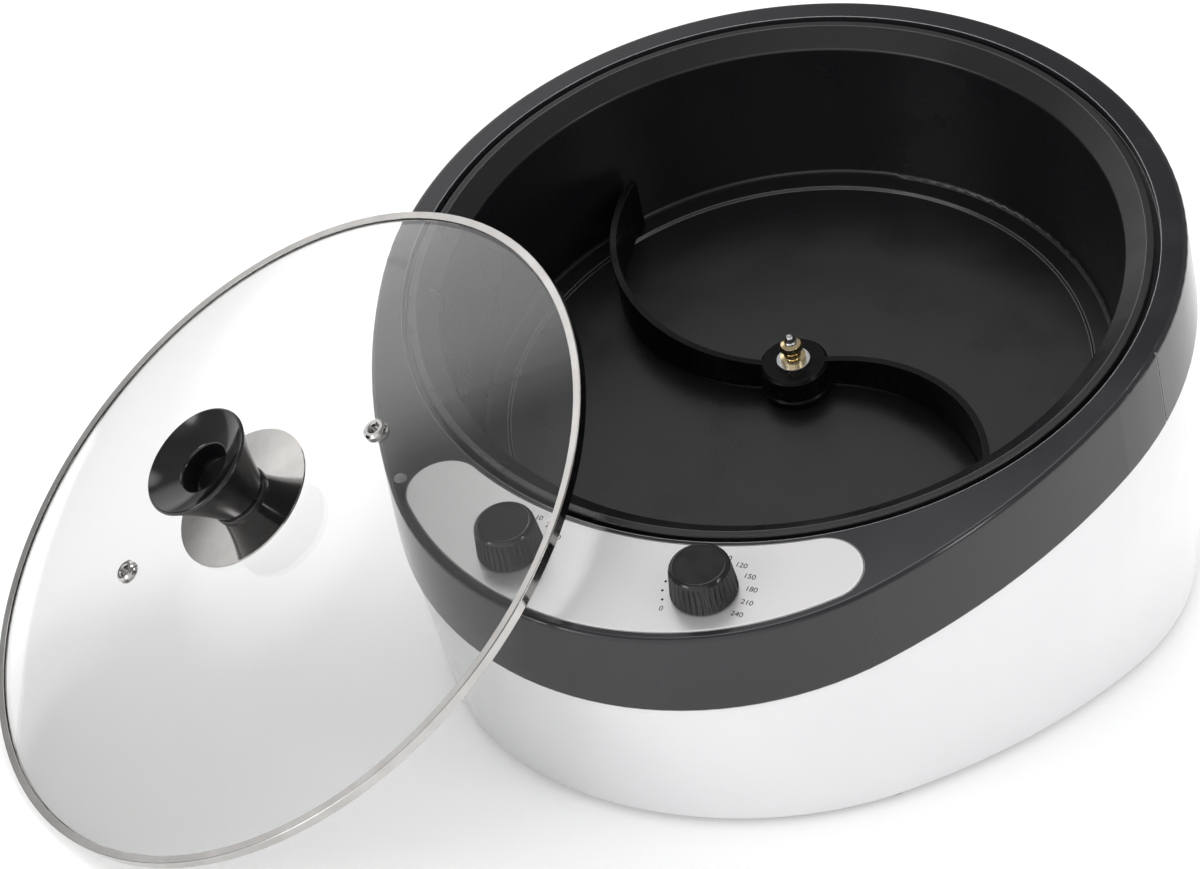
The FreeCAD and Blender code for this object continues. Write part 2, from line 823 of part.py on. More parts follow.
def strip(sketch, start, end, width):
    """A rectangle of a width about the line between two points."""
    run_x, run_y = end[0] - start[0], end[1] - start[1]
    length = root(run_x * run_x + run_y * run_y)
    side_x, side_y = -run_y / length * width / 2, run_x / length * width / 2
    profile(
        sketch,
        [
            (start[0] + side_x, start[1] + side_y),
            (start[0] - side_x, start[1] - side_y),
            (end[0] - side_x, end[1] - side_y),
            (end[0] + side_x, end[1] + side_y),
        ],
    )


def make_base_plate():
    """The plate closes the housing from below, so its edge follows the sloping wall."""
    body = new_body("base_plate")
    on_deck(body)
    outline = new_sketch(body, "plate_outline", lift=SKIRT_BOTTOM)
    egg_outline(outline, HOUSING_OFFSET - S.housing_wall - S.base_gap)
    pad(body, "plate", outline, HOUSING_DEPTH, down=True, draft=-S.housing_draft)
    above = new_level_sketch(body, "above_plate", BASE_TOP)
    rectangle(above, -WORK_AREA, WORK_AREA, -WORK_AREA, WORK_AREA)
    pocket(body, "top_cut", above, WORK_AREA, up=True)
    below = new_level_sketch(body, "below_plate", S.foot_height)
    rectangle(below, -WORK_AREA, WORK_AREA, -WORK_AREA, WORK_AREA)
    pocket(body, "bottom_cut", below, WORK_AREA)
    holes = new_level_sketch(body, "screw_hole_outlines", BASE_TOP)
    circles(holes, S.screw_radius + 0.3, BASE_SCREWS)
    pocket(body, "screw_holes", holes, S.base_thick)
    vent = new_level_sketch(body, "vent_outline", BASE_TOP)
    first = S.vent_pitch * (VENT_COUNT - 1) / 2
    slot(vent, -first, S.vent_length, S.vent_width)
    vents = pocket(body, "vent", vent, S.base_thick)
    row = body.newObject("PartDesign::LinearPattern", "vent_row")
    row.Originals = [vents]
    row.Direction = (origin_plane(body, "X_Axis"), [""])
    row.setExpression("Length", (S.vent_pitch * (VENT_COUNT - 1)).text)
    row.Occurrences = VENT_COUNT
    body.Tip = row


def slot(sketch, x, length, width):
    """A round-ended slot along Y, centred at x."""
    half, end = width / 2, (length - width) / 2
    points = [(x + half, -end), (x + half, end), (x - half, end), (x - half, -end)]
    profile(sketch, points, {1: (half, 1), 3: (half, 1)})


def make_feet():
    body = new_body("rubber_feet")
    on_worktop(body)
    pad_circles(body, "discs", S.foot_radius, BASE_SCREWS, ZERO, S.foot_height)
    cut_circles(body, "head_recesses", Size(4.2), BASE_SCREWS, ZERO, S.foot_recess)
    cut_circles(body, "screw_holes", S.screw_radius + 0.3, BASE_SCREWS, ZERO, S.foot_height)


def make_base_screws():
    body = new_body("base_screws")
    on_worktop(body)
    pad_circles(body, "heads", 3.0, BASE_SCREWS, S.foot_recess - 1.2, S.foot_recess)
    tip = BASE_TOP + S.post_height - 4
    pad_circles(body, "shanks", S.screw_radius, BASE_SCREWS, S.foot_recess - 0.5, tip)


def make_frame_screws():
    body = new_body("frame_screws")
    on_deck(body)
    seat = SKIRT_BOTTOM - S.shelf_thick
    pad_circles(body, "heads", 2.8, FRAME_SCREWS, seat - 1.8, seat)
    pad_circles(body, "shanks", S.screw_radius, FRAME_SCREWS, seat - 0.5, SKIRT_BOTTOM + 10)


def make_control_panel():
    body = new_body("control_panel")
    on_deck(body)
    outline = new_sketch(body, "panel_outline", lift=PANEL_UNDER)
    panel_outline(outline, ZERO)
    pad(body, "panel", outline, S.panel_thick)
    round_edges(body, "panel_edge", 0.4, all_at_height(PANEL_TOP))
    dials = both_sides(DIAL_X, DIAL_Y)
    cut_circles(body, "dial_holes", S.bushing_radius + 0.3, dials, PANEL_UNDER, PANEL_TOP)


def make_indicator():
    lens = new_body("indicator_lens")
    on_deck(lens, -LAMP_X, LAMP_Y)
    radius, cap = S.lamp_radius, S.lamp_radius + 0.8
    section = [
        (ZERO, DECK_UNDER - 0.4),
        (radius, DECK_UNDER - 0.4),
        (radius, DECK_TOP),
        (cap, DECK_TOP),
        (ZERO, DECK_TOP + 1.4),
    ]
    # the cap is part of a ball
    rise = Size(1.4)
    ball = (cap * cap + rise * rise) / (2 * rise)
    turned(lens, "lens", section, {3: (ball, 1)})
    lamp = new_body("indicator_lamp")
    on_deck(lamp, -LAMP_X, LAMP_Y)
    pad_circles(lamp, "lamp", radius + 0.2, [(ZERO, ZERO)], DECK_UNDER - 18, DECK_UNDER - 0.4)


def make_cable_inlet():
    """A gland in the back wall, square to that wall."""
    body = new_body("cable_inlet")
    lean = S.deck_tilt - S.housing_draft - 90
    x, y, z = deck_to_worktop(ZERO, INLET_Y, INLET_Z)
    body.Placement = Placement(Vector(0, 0, 0), Rotation(Vector(1, 0, 0), lean.value))
    body.setExpression("Placement.Rotation.Angle", lean.text)
    move_to(body, S.axis_x + x, S.axis_y + y, z)
    wall = S.housing_wall
    barrel, flange, bore = S.inlet_radius, S.inlet_radius + 2.4, S.inlet_bore
    section = [
        (bore, -wall - 3),
        (barrel + 1.4, -wall - 3),
        (barrel + 1.4, -wall - 0.4),
        (barrel - 0.2, -wall - 0.4),
        (barrel - 0.2, ZERO),
        (flange, ZERO),
        (flange, Size(1.2)),
        (bore + 1.6, Size(3.2)),
        (bore, Size(3.2)),
    ]
    turned(body, "gland", section)


def make_terminal_block():
    body = new_body("terminal_block")
    on_worktop(body)
    base = new_sketch(body, "block_outline", lift=BASE_TOP)
    rectangle(base, Size(34), Size(78), Size(118), Size(138))
    pad(body, "block", base, 9)
    ridge = new_sketch(body, "ridge_outline", lift=BASE_TOP + 9)
    rectangle(ridge, Size(34), Size(78), Size(124), Size(132))
    pad(body, "ridge", ridge, 7)
    row = [(Size(40 + 8 * k), y) for k in range(5) for y in (Size(121), Size(135))]
    cut_circles(body, "terminals", 1.8, row, BASE_TOP + 5, BASE_TOP + 9)


# ---------------------------------------------------------------- pan and heat


def make_pan():
    """A spun pan: floor with a raised ring, draughted wall, sloping ledge and turned-down lip."""
    body = new_body("roasting_pan")
    on_deck(body)
    wall = S.pan_wall
    heel = S.pan_radius - S.pan_draft
    ring = PAN_FLOOR + S.floor_step
    floor = heel - S.floor_ring
    hole = S.bush_radius + 0.1
    thin = wall * Size(0.94)
    outer = LIP_RADIUS - thin
    section = [
        (hole, PAN_FLOOR),
        (floor, PAN_FLOOR),
        (floor + S.floor_step, ring),
        (heel, ring),
        (S.pan_radius, ZERO),
        (LEDGE_RADIUS, S.ledge_rise),
        (LIP_RADIUS, S.ledge_rise),
        (LIP_RADIUS, LIP_BOTTOM),
        (outer, LIP_BOTTOM),
        (outer, S.ledge_rise - wall),
        (LEDGE_RADIUS + 0.4, S.ledge_rise - wall),
        (S.pan_radius + wall, -wall / 2),
        (heel + wall, ring - wall),
        (floor + S.floor_step + 0.6, ring - wall),
        (floor + 0.6, PAN_UNDER),
        (hole, PAN_UNDER),
    ]
    turned(body, "pan", section)
    round_edges(body, "heel", 2.0, ring_edge(heel, ring))
    round_edges(body, "lip_edge", 0.7, ring_edge(LIP_RADIUS, S.ledge_rise))
    round_edges(body, "mouth", 1.2, ring_edge(S.pan_radius, ZERO))


def ring_edge(radius, z):
    """Picks the circular edge about the pan's axis with a radius and a height."""

    def wanted(edge):
        box = edge.BoundBox
        level = abs(box.ZMin - z.value) < 1e-3 and abs(box.ZMax - z.value) < 1e-3
        return level and abs(box.XMax - radius.value) < 1e-2

    return wanted


def make_heating_element():
    body = new_body("heating_element")
    on_deck(body)
    centre = PAN_UNDER - S.element_tube
    section = new_sketch(body, "tube_section", role="XZ_Plane")
    circles(section, S.element_tube, [(S.element_radius, centre)])
    ring = revolve(body, "ring", section)
    ring.setExpression("Angle", (360 - 2 * S.element_gap).text)
    doc.recompute()
    leg = S.element_tube - 0.5
    legs = element_leg_places()
    pad_circles(body, "legs", leg, legs, SHIELD_UNDER - 6, centre)


def element_leg_places():
    """The two ends of the ring, one at the sketch's own plane and one before the gap."""
    inner = Size(2.5)
    places = []
    for angle in (inner, 360 - 2 * S.element_gap - inner):
        places.append((S.element_radius * cosine(angle), S.element_radius * sine(angle)))
    return places


def make_element_clamps():
    body = new_body("element_clamps")
    on_deck(body)
    section = new_sketch(body, "strap_section", role="YZ_Plane")
    tube_, sheet_, foot = S.element_tube + 0.3, Size(1.0), Size(6.0)
    middle, top = S.element_radius, PAN_UNDER
    bottom = top - 2 * tube_
    points = [
        (middle - tube_ - foot, top),
        (middle - tube_, top),
        (middle - tube_, bottom),
        (middle + tube_, bottom),
        (middle + tube_, top),
        (middle + tube_ + foot, top),
        (middle + tube_ + foot, top - sheet_),
        (middle + tube_ + sheet_, top - sheet_),
        (middle + tube_ + sheet_, bottom - sheet_),
        (middle - tube_ - sheet_, bottom - sheet_),
        (middle - tube_ - sheet_, top - sheet_),
        (middle - tube_ - foot, top - sheet_),
    ]
    profile(section, points)
    strap = pad(body, "strap", section, 10)
    strap.SideType = "Symmetric"
    polar_copies(body, "straps", strap, CLAMP_COUNT)


def make_thermal_cutout():
    body = new_body("thermal_cutout")
    on_deck(body, Size(-42), Size(30))
    section = [
        (ZERO, PAN_UNDER - 7),
        (Size(8), PAN_UNDER - 7),
        (Size(8), PAN_UNDER - 1.2),
        (Size(10), PAN_UNDER - 1.2),
        (Size(10), PAN_UNDER),
        (ZERO, PAN_UNDER),
    ]
    turned(body, "cutout", section)


def make_sensor_bulb():
    body = new_body("sensor_bulb")
    on_deck(body, Size(0), Size(-52))
    bulb = new_sketch(body, "bulb_outline", role="YZ_Plane")
    circles(bulb, Size(3), [(ZERO, PAN_UNDER - 3)])
    rod = pad(body, "bulb", bulb, S.bulb_length)
    rod.SideType = "Symmetric"


def make_heat_shield():
    """A steel bowl that hangs from the deck's seat and carries the pan's bush and the motor."""
    body = new_body("heat_shield")
    on_deck(body)
    wall, corner = S.shield_wall, Size(12)
    inner, outer = SHIELD_RADIUS, SHIELD_RADIUS + S.shield_wall
    hole = S.bush_radius + 0.1
    middle_x, middle_z = inner - corner, SHIELD_TOP + corner
    section = [
        (hole, SHIELD_UNDER),
        (middle_x, SHIELD_UNDER),
        (outer, middle_z),
        (outer, SEAT_UNDER - wall),
        (inner + S.shield_flange, SEAT_UNDER - wall),
        (inner + S.shield_flange, SEAT_UNDER),
        (inner, SEAT_UNDER),
        (inner, middle_z),
        (middle_x, SHIELD_TOP),
        (hole, SHIELD_TOP),
    ]
    turned(body, "bowl", section, {1: (corner + wall, 1), 7: (corner, -1)})
    legs = element_leg_places()
    cut_circles(body, "leg_holes", S.element_tube + 1.5, legs, SHIELD_UNDER, SHIELD_TOP)
    cut_circles(body, "motor_holes", Size(1.7), MOTOR_SCREWS, SHIELD_UNDER, SHIELD_TOP)
    hole = S.screw_radius + 0.2
    cut_circles(body, "flange_holes", hole, SHIELD_SCREWS, SEAT_UNDER - wall, SEAT_UNDER)


def make_shield_screws():
    body = new_body("shield_screws")
    on_deck(body)
    seat = SEAT_UNDER - S.shield_wall
    pad_circles(body, "heads", 2.6, SHIELD_SCREWS, seat - 1.6, seat)
    pad_circles(body, "shanks", S.screw_radius, SHIELD_SCREWS, seat - 0.5, SEAT_UNDER + 1.7)


def make_bush():
    """A flanged bush clamps the pan, a sleeve and the bowl together; a seal lies on it."""
    bore = S.shaft_radius + S.shaft_gap
    bush = new_body("shaft_bush")
    on_deck(bush)
    section = [
        (bore, BUSH_END),
        (S.bush_radius, BUSH_END),
        (S.bush_radius, PAN_FLOOR),
        (S.bush_flange, PAN_FLOOR),
        (S.bush_flange, PAN_FLOOR + S.bush_cap - 0.6),
        (S.bush_flange - 0.6, PAN_FLOOR + S.bush_cap),
        (bore, PAN_FLOOR + S.bush_cap),
    ]
    turned(bush, "bush", section)
    seal = new_body("shaft_seal")
    on_deck(seal)
    top = PAN_FLOOR + S.bush_cap
    tube(seal, "seal", bore + 0.04, Size(8), top, top + 0.7)
    sleeve = new_body("spacer_sleeve")
    on_deck(sleeve)
    tube(sleeve, "sleeve", S.bush_radius + 0.1, S.sleeve_radius, SHIELD_TOP, PAN_UNDER)
    nut = new_body("bush_nut")
    on_deck(nut)
    outline = new_sketch(nut, "nut_outline", lift=NUT_UNDER)
    hexagon(outline, Size(10.5))
    pad(nut, "nut", outline, S.bush_nut)
    cut_circles(nut, "bore", S.bush_radius + 0.02, [(ZERO, ZERO)], NUT_UNDER, SHIELD_UNDER)


def make_motor():
    motor = new_body("gear_motor")
    on_deck(motor)
    edge = Size(2)
    section = [
        (ZERO, MOTOR_UNDER),
        (S.motor_radius - edge, MOTOR_UNDER),
        (S.motor_radius, MOTOR_UNDER + edge),
        (S.motor_radius, GEARBOX_UNDER),
        (S.gearbox_radius, GEARBOX_UNDER),
        (S.gearbox_radius, GEARBOX_TOP),
        (ZERO, GEARBOX_TOP),
    ]
    turned(motor, "case", section)
    bore = S.shaft_radius - 0.5 + S.shaft_gap
    cut_circles(motor, "shaft_bore", bore, [(ZERO, ZERO)], GEARBOX_TOP - 10, GEARBOX_TOP)
    pilot = Size(1.55)
    cut_circles(motor, "pilots", pilot, MOTOR_SCREWS, GEARBOX_TOP - 8, GEARBOX_TOP)
    posts = new_body("motor_standoffs")
    on_deck(posts)
    pad_circles(posts, "posts", S.standoff_radius, MOTOR_SCREWS, GEARBOX_TOP, SHIELD_UNDER)
    cut_circles(posts, "bores", 1.7, MOTOR_SCREWS, GEARBOX_TOP, SHIELD_UNDER)
    screws = new_body("motor_screws")
    on_deck(screws)
    pad_circles(screws, "heads", 3.0, MOTOR_SCREWS, SHIELD_TOP, SHIELD_TOP + 1.8)
    pad_circles(screws, "shanks", 1.5, MOTOR_SCREWS, GEARBOX_TOP - 6, SHIELD_TOP + 0.5)


# ---------------------------------------------------------------- what turns in the pan


HUB_UNDER = PAN_FLOOR + S.sweep_gap
HUB_TOP = PAN_FLOOR + S.hub_height
SHAFT_SEAT = PAN_FLOOR + S.bush_cap + 1.6
FLATS = S.shaft_radius - 1.0


def make_drive_shaft():
    body = new_body("drive_shaft")
    on_deck(body)
    radius, thread, tip = S.shaft_radius, Size(2.5), Size(2.0)
    top = HUB_TOP + 14.3
    section = [
        (ZERO, COUPLING_UNDER + S.coupling_length / 2),
        (radius, COUPLING_UNDER + S.coupling_length / 2),
        (radius, HUB_TOP - 1.2),
        (thread, HUB_TOP - 1.2),
        (thread, HUB_TOP + 10.8),
        (tip, HUB_TOP + 11.3),
        (tip, top - tip),
        (ZERO, top),
    ]
    turned(body, "shaft", section, {6: (tip, 1)})
    for name, side in (("right_flat", 1), ("left_flat", -1)):
        flat = new_sketch(body, f"{name}_outline", lift=HUB_TOP)
        near, far = FLATS * side, (radius + 1) * side
        left, right = (near, far) if side > 0 else (far, near)
        rectangle(flat, left, right, -radius, radius)
        pocket(body, name, flat, HUB_TOP - SHAFT_SEAT)


def make_drive_coupling():
    body = new_body("drive_coupling")
    on_deck(body)
    middle = COUPLING_UNDER + S.coupling_length / 2
    radius, motor_shaft = S.shaft_radius, S.shaft_radius - 0.5
    section = [
        (motor_shaft, COUPLING_UNDER),
        (S.coupling_radius, COUPLING_UNDER),
        (S.coupling_radius, COUPLING_TOP),
        (radius, COUPLING_TOP),
        (radius, middle),
        (motor_shaft, middle),
    ]
    turned(body, "coupling", section)
    shaft = new_body("output_shaft")
    on_deck(shaft)
    pad_circles(shaft, "shaft", motor_shaft, [(ZERO, ZERO)], GEARBOX_TOP - 9, middle)


def make_stirrer():
    """Two curved blades on a hub. Their top edges climb from the hub to the tips."""
    body = new_body("stirrer")
    on_deck(body)
    hub, tall = S.hub_radius, HUB_TOP
    reach = blade_reach()
    section = [
        (ZERO, HUB_UNDER),
        (hub + 0.7, HUB_UNDER),
        (hub + 0.7, HUB_UNDER + 2),
        (hub, HUB_UNDER + 2.7),
        (hub, tall - 1.2),
        (hub - 1.2, tall),
        (ZERO, tall),
    ]
    turned(body, "hub", section)
    blade = new_sketch(body, "blade_outline", lift=HUB_UNDER)
    blade_outline(blade)
    wing = pad(body, "blade", blade, S.tip_height - S.sweep_gap)
    polar_copies(body, "blades", wing, 2)
    above = new_sketch(body, "above_blades", role="XZ_Plane")
    high = PAN_FLOOR + S.tip_height
    slope = [(ZERO, tall), (hub, tall), (reach, high), (reach, high + 5), (ZERO, high + 5)]
    profile(above, slope)
    groove(body, "blade_tops", above)
    cut_circles(body, "seal_recess", S.bush_flange + 1, [(ZERO, ZERO)], HUB_UNDER, SHAFT_SEAT)
    bore = new_sketch(body, "bore_outline", lift=tall)
    flat_bore(bore, S.shaft_radius + 0.05, FLATS + 0.05)
    pocket(body, "bore", bore, tall - SHAFT_SEAT)


def blade_reach():
    """The radius that the blades' tips reach."""
    half = S.arm_sweep / 2
    return 2 * S.arm_radius * sine(half) + S.blade_thick


def blade_outline(sketch):
    """A strip about an arc that starts on the axis and bends clockwise, as seen from above."""
    radius, half = S.arm_radius, S.blade_thick / 2
    centre = (-radius * sine(S.arm_heading), radius * cosine(S.arm_heading))
    start, end = 270 + S.arm_heading, 270 + S.arm_heading - S.arm_sweep
    inner, outer = radius - half, radius + half
    points = []
    for arm, turn in ((inner, start), (outer, start), (outer, end), (inner, end)):
        points.append((centre[0] + arm * cosine(turn), centre[1] + arm * sine(turn)))
    profile(sketch, points, {1: (outer, -1), 3: (inner, 1)})


def flat_bore(sketch, radius, flat):
    """A round hole with two flats, at plus and minus x."""
    rise = root(radius * radius - flat * flat)
    points = [(flat, -rise), (flat, rise), (-flat, rise), (-flat, -rise)]
    profile(sketch, points, {1: (radius, 1), 3: (radius, 1)})


def make_shaft_nut():
    washer = new_body("shaft_washer")
    on_deck(washer)
    tube(washer, "washer", Size(2.55), Size(6.8), HUB_TOP, HUB_TOP + 1)
    nut = new_body("shaft_nut")
    on_deck(nut)
    seat = HUB_TOP + 1
    flange, bead, neck, thread = S.nut_radius, S.nut_radius - 0.3, Size(3.5), Size(2.52)
    section = [
        (thread, seat),
        (flange, seat),
        (flange, seat + 2),
        (neck, seat + 2.6),
        (neck, seat + 4.8),
        (bead - 1.2, seat + 5.2),
        (bead, seat + 6.6),
        (bead - 0.8, seat + 8.6),
        (thread, seat + 9.2),
    ]
    turned(nut, "nut", section)


# ---------------------------------------------------------------- dials


def make_dial(side_name, side):
    """A fluted knob on a spindle, which turns in the bushing of the switch below it."""
    place = (DIAL_X * side, DIAL_Y)
    spindle = new_body(f"{side_name}_spindle")
    on_deck(spindle, *place)
    shaft = S.spindle_radius
    pad_circles(spindle, "spindle", shaft, [(ZERO, ZERO)], DECK_UNDER - 8, KNOB_TOP - 2.5)
    knob = new_body(f"{side_name}_knob")
    on_deck(knob, *place)
    base, top = S.knob_radius, S.knob_radius - S.knob_taper
    recess = Size(9.5)
    section = [
        (shaft + 0.02, KNOB_UNDER + 3),
        (recess, KNOB_UNDER + 3),
        (recess, KNOB_UNDER),
        (base, KNOB_UNDER),
        (top, KNOB_TOP - S.dial_bevel),
        (top - S.dial_bevel, KNOB_TOP),
        (ZERO, KNOB_TOP),
        (ZERO, KNOB_TOP - 2.5),
        (shaft + 0.02, KNOB_TOP - 2.5),
    ]
    turned(knob, "body", section)
    flute = new_sketch(knob, "flute_outline", lift=KNOB_TOP)
    circles(flute, S.flute_radius, [(base + 0.15, ZERO)])
    cut = pocket(knob, "flute", flute, S.knob_height)
    polar_copies(knob, "flutes", cut, FLUTE_COUNT)


def make_switch(body_name, nut_name, side, radius, depth):
    """A switch or thermostat that hangs under the deck by its threaded bushing and a nut."""
    place = (DIAL_X * side, DIAL_Y)
    switch = new_body(body_name)
    on_deck(switch, *place)
    bore = S.spindle_radius + S.spindle_gap
    bushing_top = PANEL_TOP + S.dial_nut + 0.2
    section = [
        (ZERO, DECK_UNDER - depth),
        (radius, DECK_UNDER - depth),
        (radius, DECK_UNDER),
        (S.bushing_radius, DECK_UNDER),
        (S.bushing_radius, bushing_top),
        (bore, bushing_top),
        (bore, DECK_UNDER - 9),
        (ZERO, DECK_UNDER - 9),
    ]
    turned(switch, "case", section)
    nut = new_body(nut_name)
    on_deck(nut, *place)
    outline = new_sketch(nut, "nut_outline", lift=PANEL_TOP)
    hexagon(outline, S.bushing_radius + 2.2)
    pad(nut, "nut", outline, S.dial_nut)
    top = PANEL_TOP + S.dial_nut
    cut_circles(nut, "bore", S.bushing_radius + 0.02, [(ZERO, ZERO)], PANEL_TOP, top)


# ---------------------------------------------------------------- lid


LID_RADIUS = LEDGE_RADIUS - S.lid_gap
DOME_EDGE = LID_RADIUS - S.band_width
DOME_BALL = (DOME_EDGE * DOME_EDGE + S.dome_rise * S.dome_rise) / (2 * S.dome_rise)
GLASS_UNDER = S.band_wall
BALL_Z = GLASS_UNDER + S.dome_rise - DOME_BALL
GLASS_BALL = DOME_BALL + S.glass_thick
GLASS_INNER_TOP = GLASS_UNDER + S.dome_rise
GLASS_OUTER_TOP = GLASS_INNER_TOP + S.glass_thick
LID_HEIGHT = LID_RADIUS * sine(S.lid_lean)


def lid_turn():
    about_z = Rotation(Vector(0, 0, 1), -S.lid_heading.value)
    about_x = Rotation(Vector(1, 0, 0), S.lid_lean.value)
    return about_z.multiply(about_x)


def lid_underside(radius):
    """The lowest surface of the lid, over its own rim plane, at a radius from its axis."""
    if radius > DOME_EDGE.value:
        return 0.0
    return BALL_Z.value + math.sqrt(DOME_BALL.value**2 - radius**2)


def machine_corners():
    """Points on the deck's edge and on the top edge of the left dial, in the worktop frame."""
    points = []
    skirt = S.knob_radius - S.knob_taper
    rings = [(skirt - S.dial_bevel, KNOB_TOP), (skirt, KNOB_TOP - S.dial_bevel)]
    for step in range(72):
        turn = math.radians(5 * step)
        for radius, height in rings:
            x = -DIAL_X.value + radius.value * math.cos(turn)
            y = DIAL_Y.value + radius.value * math.sin(turn)
            points.append((x, y, height.value))
        nose_x = NOSE_RADIUS.value * math.cos(turn)
        nose_y = NOSE_RADIUS.value * math.sin(turn) - S.nose_shift.value
        if math.hypot(nose_x, nose_y) > OPENING_RADIUS.value:
            points.append((nose_x, nose_y, DECK_TOP.value))
    corners = []
    for x, y, z in points:
        px, py, pz = deck_to_worktop(Size(x), Size(y), Size(z))
        corners.append(Vector(px.value, py.value, pz.value))
    return corners


def lid_gap_at(distance, corners):
    """The smallest gap between the lid's underside and the machine, at a distance from the pan."""
    turn = math.radians(S.lid_bearing.value)
    centre = Vector(-distance * math.sin(turn), -distance * math.cos(turn), LID_HEIGHT.value)
    back = lid_turn().inverted()
    gaps = [1000.0]
    for corner in corners:
        local = back.multVec(corner - centre)
        radius = math.hypot(local.x, local.y)
        if radius < LID_RADIUS.value:
            gaps.append(lid_underside(radius) - local.z)
    return min(gaps)


def lid_distance():
    """How near the leaning lid comes before it touches the machine, less a small gap."""
    corners = machine_corners()
    near, far = 100.0, 420.0
    for _ in range(50):
        middle = (near + far) / 2
        if lid_gap_at(middle, corners) > S.lid_touch.value:
            far = middle
        else:
            near = middle
    return far


LID_DISTANCE = lid_distance()


def on_lid(body, turn=ZERO):
    bearing = math.radians(S.lid_bearing.value)
    x = S.axis_x.value - LID_DISTANCE * math.sin(bearing)
    y = S.axis_y.value - LID_DISTANCE * math.cos(bearing)
    spin = Rotation(Vector(0, 0, 1), turn.value)
    body.Placement = Placement(Vector(x, y, LID_HEIGHT.value), lid_turn().multiply(spin))


def dome_radius_at(ball, z):
    """The radius at which a ball about the dome's centre passes a height."""
    rise = z - BALL_Z
    return root(ball * ball - rise * rise)


def make_lid_rim():
    """A steel channel rolled over the edge of the glass."""
    body = new_body("lid_rim")
    on_lid(body)
    wall, top = S.band_wall, 2 * S.band_wall + S.glass_thick
    outer = LID_RADIUS
    inner = outer - wall
    section = [
        (outer - S.band_width, ZERO),
        (outer, ZERO),
        (outer, top),
        (outer - S.band_width + 0.8, top),
        (outer - S.band_width + 0.8, top - wall),
        (inner, top - wall),
        (inner, wall),
        (outer - S.band_width, wall),
    ]
    turned(body, "band", section)
    round_edges(body, "band_shoulder", 0.45, ring_edge(outer, top))
    round_edges(body, "band_foot", 0.45, ring_edge(outer, ZERO))


def make_lid_glass():
    """A tempered dome with a flat edge, a hole for the knob's screw and two vent holes."""
    body = new_body("lid_glass")
    on_lid(body, S.vent_bearing)
    edge = LID_RADIUS - S.band_wall - 0.1
    top = GLASS_UNDER + S.glass_thick
    hole = Size(2.6)
    outer_foot = dome_radius_at(GLASS_BALL, top)
    inner_hole = BALL_Z + root(DOME_BALL * DOME_BALL - hole * hole)
    outer_hole = BALL_Z + root(GLASS_BALL * GLASS_BALL - hole * hole)
    section = [
        (hole, inner_hole),
        (DOME_EDGE, GLASS_UNDER),
        (edge, GLASS_UNDER),
        (edge, top),
        (outer_foot, top),
        (hole, outer_hole),
    ]
    turned(body, "dome", section, {0: (DOME_BALL, -1), 4: (GLASS_BALL, 1)})
    vent = vent_sketch(body, "vent_section")
    rectangle(vent, ZERO, S.vent_radius - 1.5, Size(-4), Size(4))
    hole_cut = groove(body, "vent_hole", vent)
    polar_copies(body, "vent_holes", hole_cut, 2)


def vent_sketch(body, name):
    """A sketch across the dome whose own vertical axis stands square to the middle of the glass."""
    sketch = new_sketch(body, name, role="XZ_Plane")
    middle = DOME_BALL + S.glass_thick / 2
    slope = Size(math.degrees(math.asin(S.vent_circle.value / middle.value)))
    height = BALL_Z + root(middle * middle - S.vent_circle * S.vent_circle)
    turn = Rotation(Vector(0, 0, -1), slope.value)
    sketch.AttachmentOffset = Placement(Vector(S.vent_circle.value, height.value, 0), turn)
    sketch.setExpression("AttachmentOffset.Base.x", S.vent_circle.text)
    sketch.setExpression("AttachmentOffset.Base.y", height.text)
    angle = f"asin({(S.vent_circle / middle).text})"
    sketch.setExpression("AttachmentOffset.Rotation.Angle", angle)
    return sketch


def make_vent_eyelets():
    body = new_body("vent_eyelets")
    on_lid(body, S.vent_bearing)
    half, cap = S.glass_thick / 2, S.vent_radius
    barrel, bore = cap - 1.6, cap - 2.4
    section = [
        (bore, -half - 1),
        (cap - 0.5, -half - 1),
        (cap, -half - 0.5),
        (cap, -half - 0.1),
        (barrel, -half - 0.1),
        (barrel, half + 0.1),
        (cap, half + 0.1),
        (cap, half + 0.5),
        (cap - 0.9, half + 1.2),
        (bore + 0.4, half + 1.2),
        (bore, half + 0.8),
    ]
    sketch = vent_sketch(body, "eyelet_section")
    profile(sketch, section)
    eyelet = revolve(body, "eyelet", sketch)
    polar_copies(body, "eyelets", eyelet, 2)


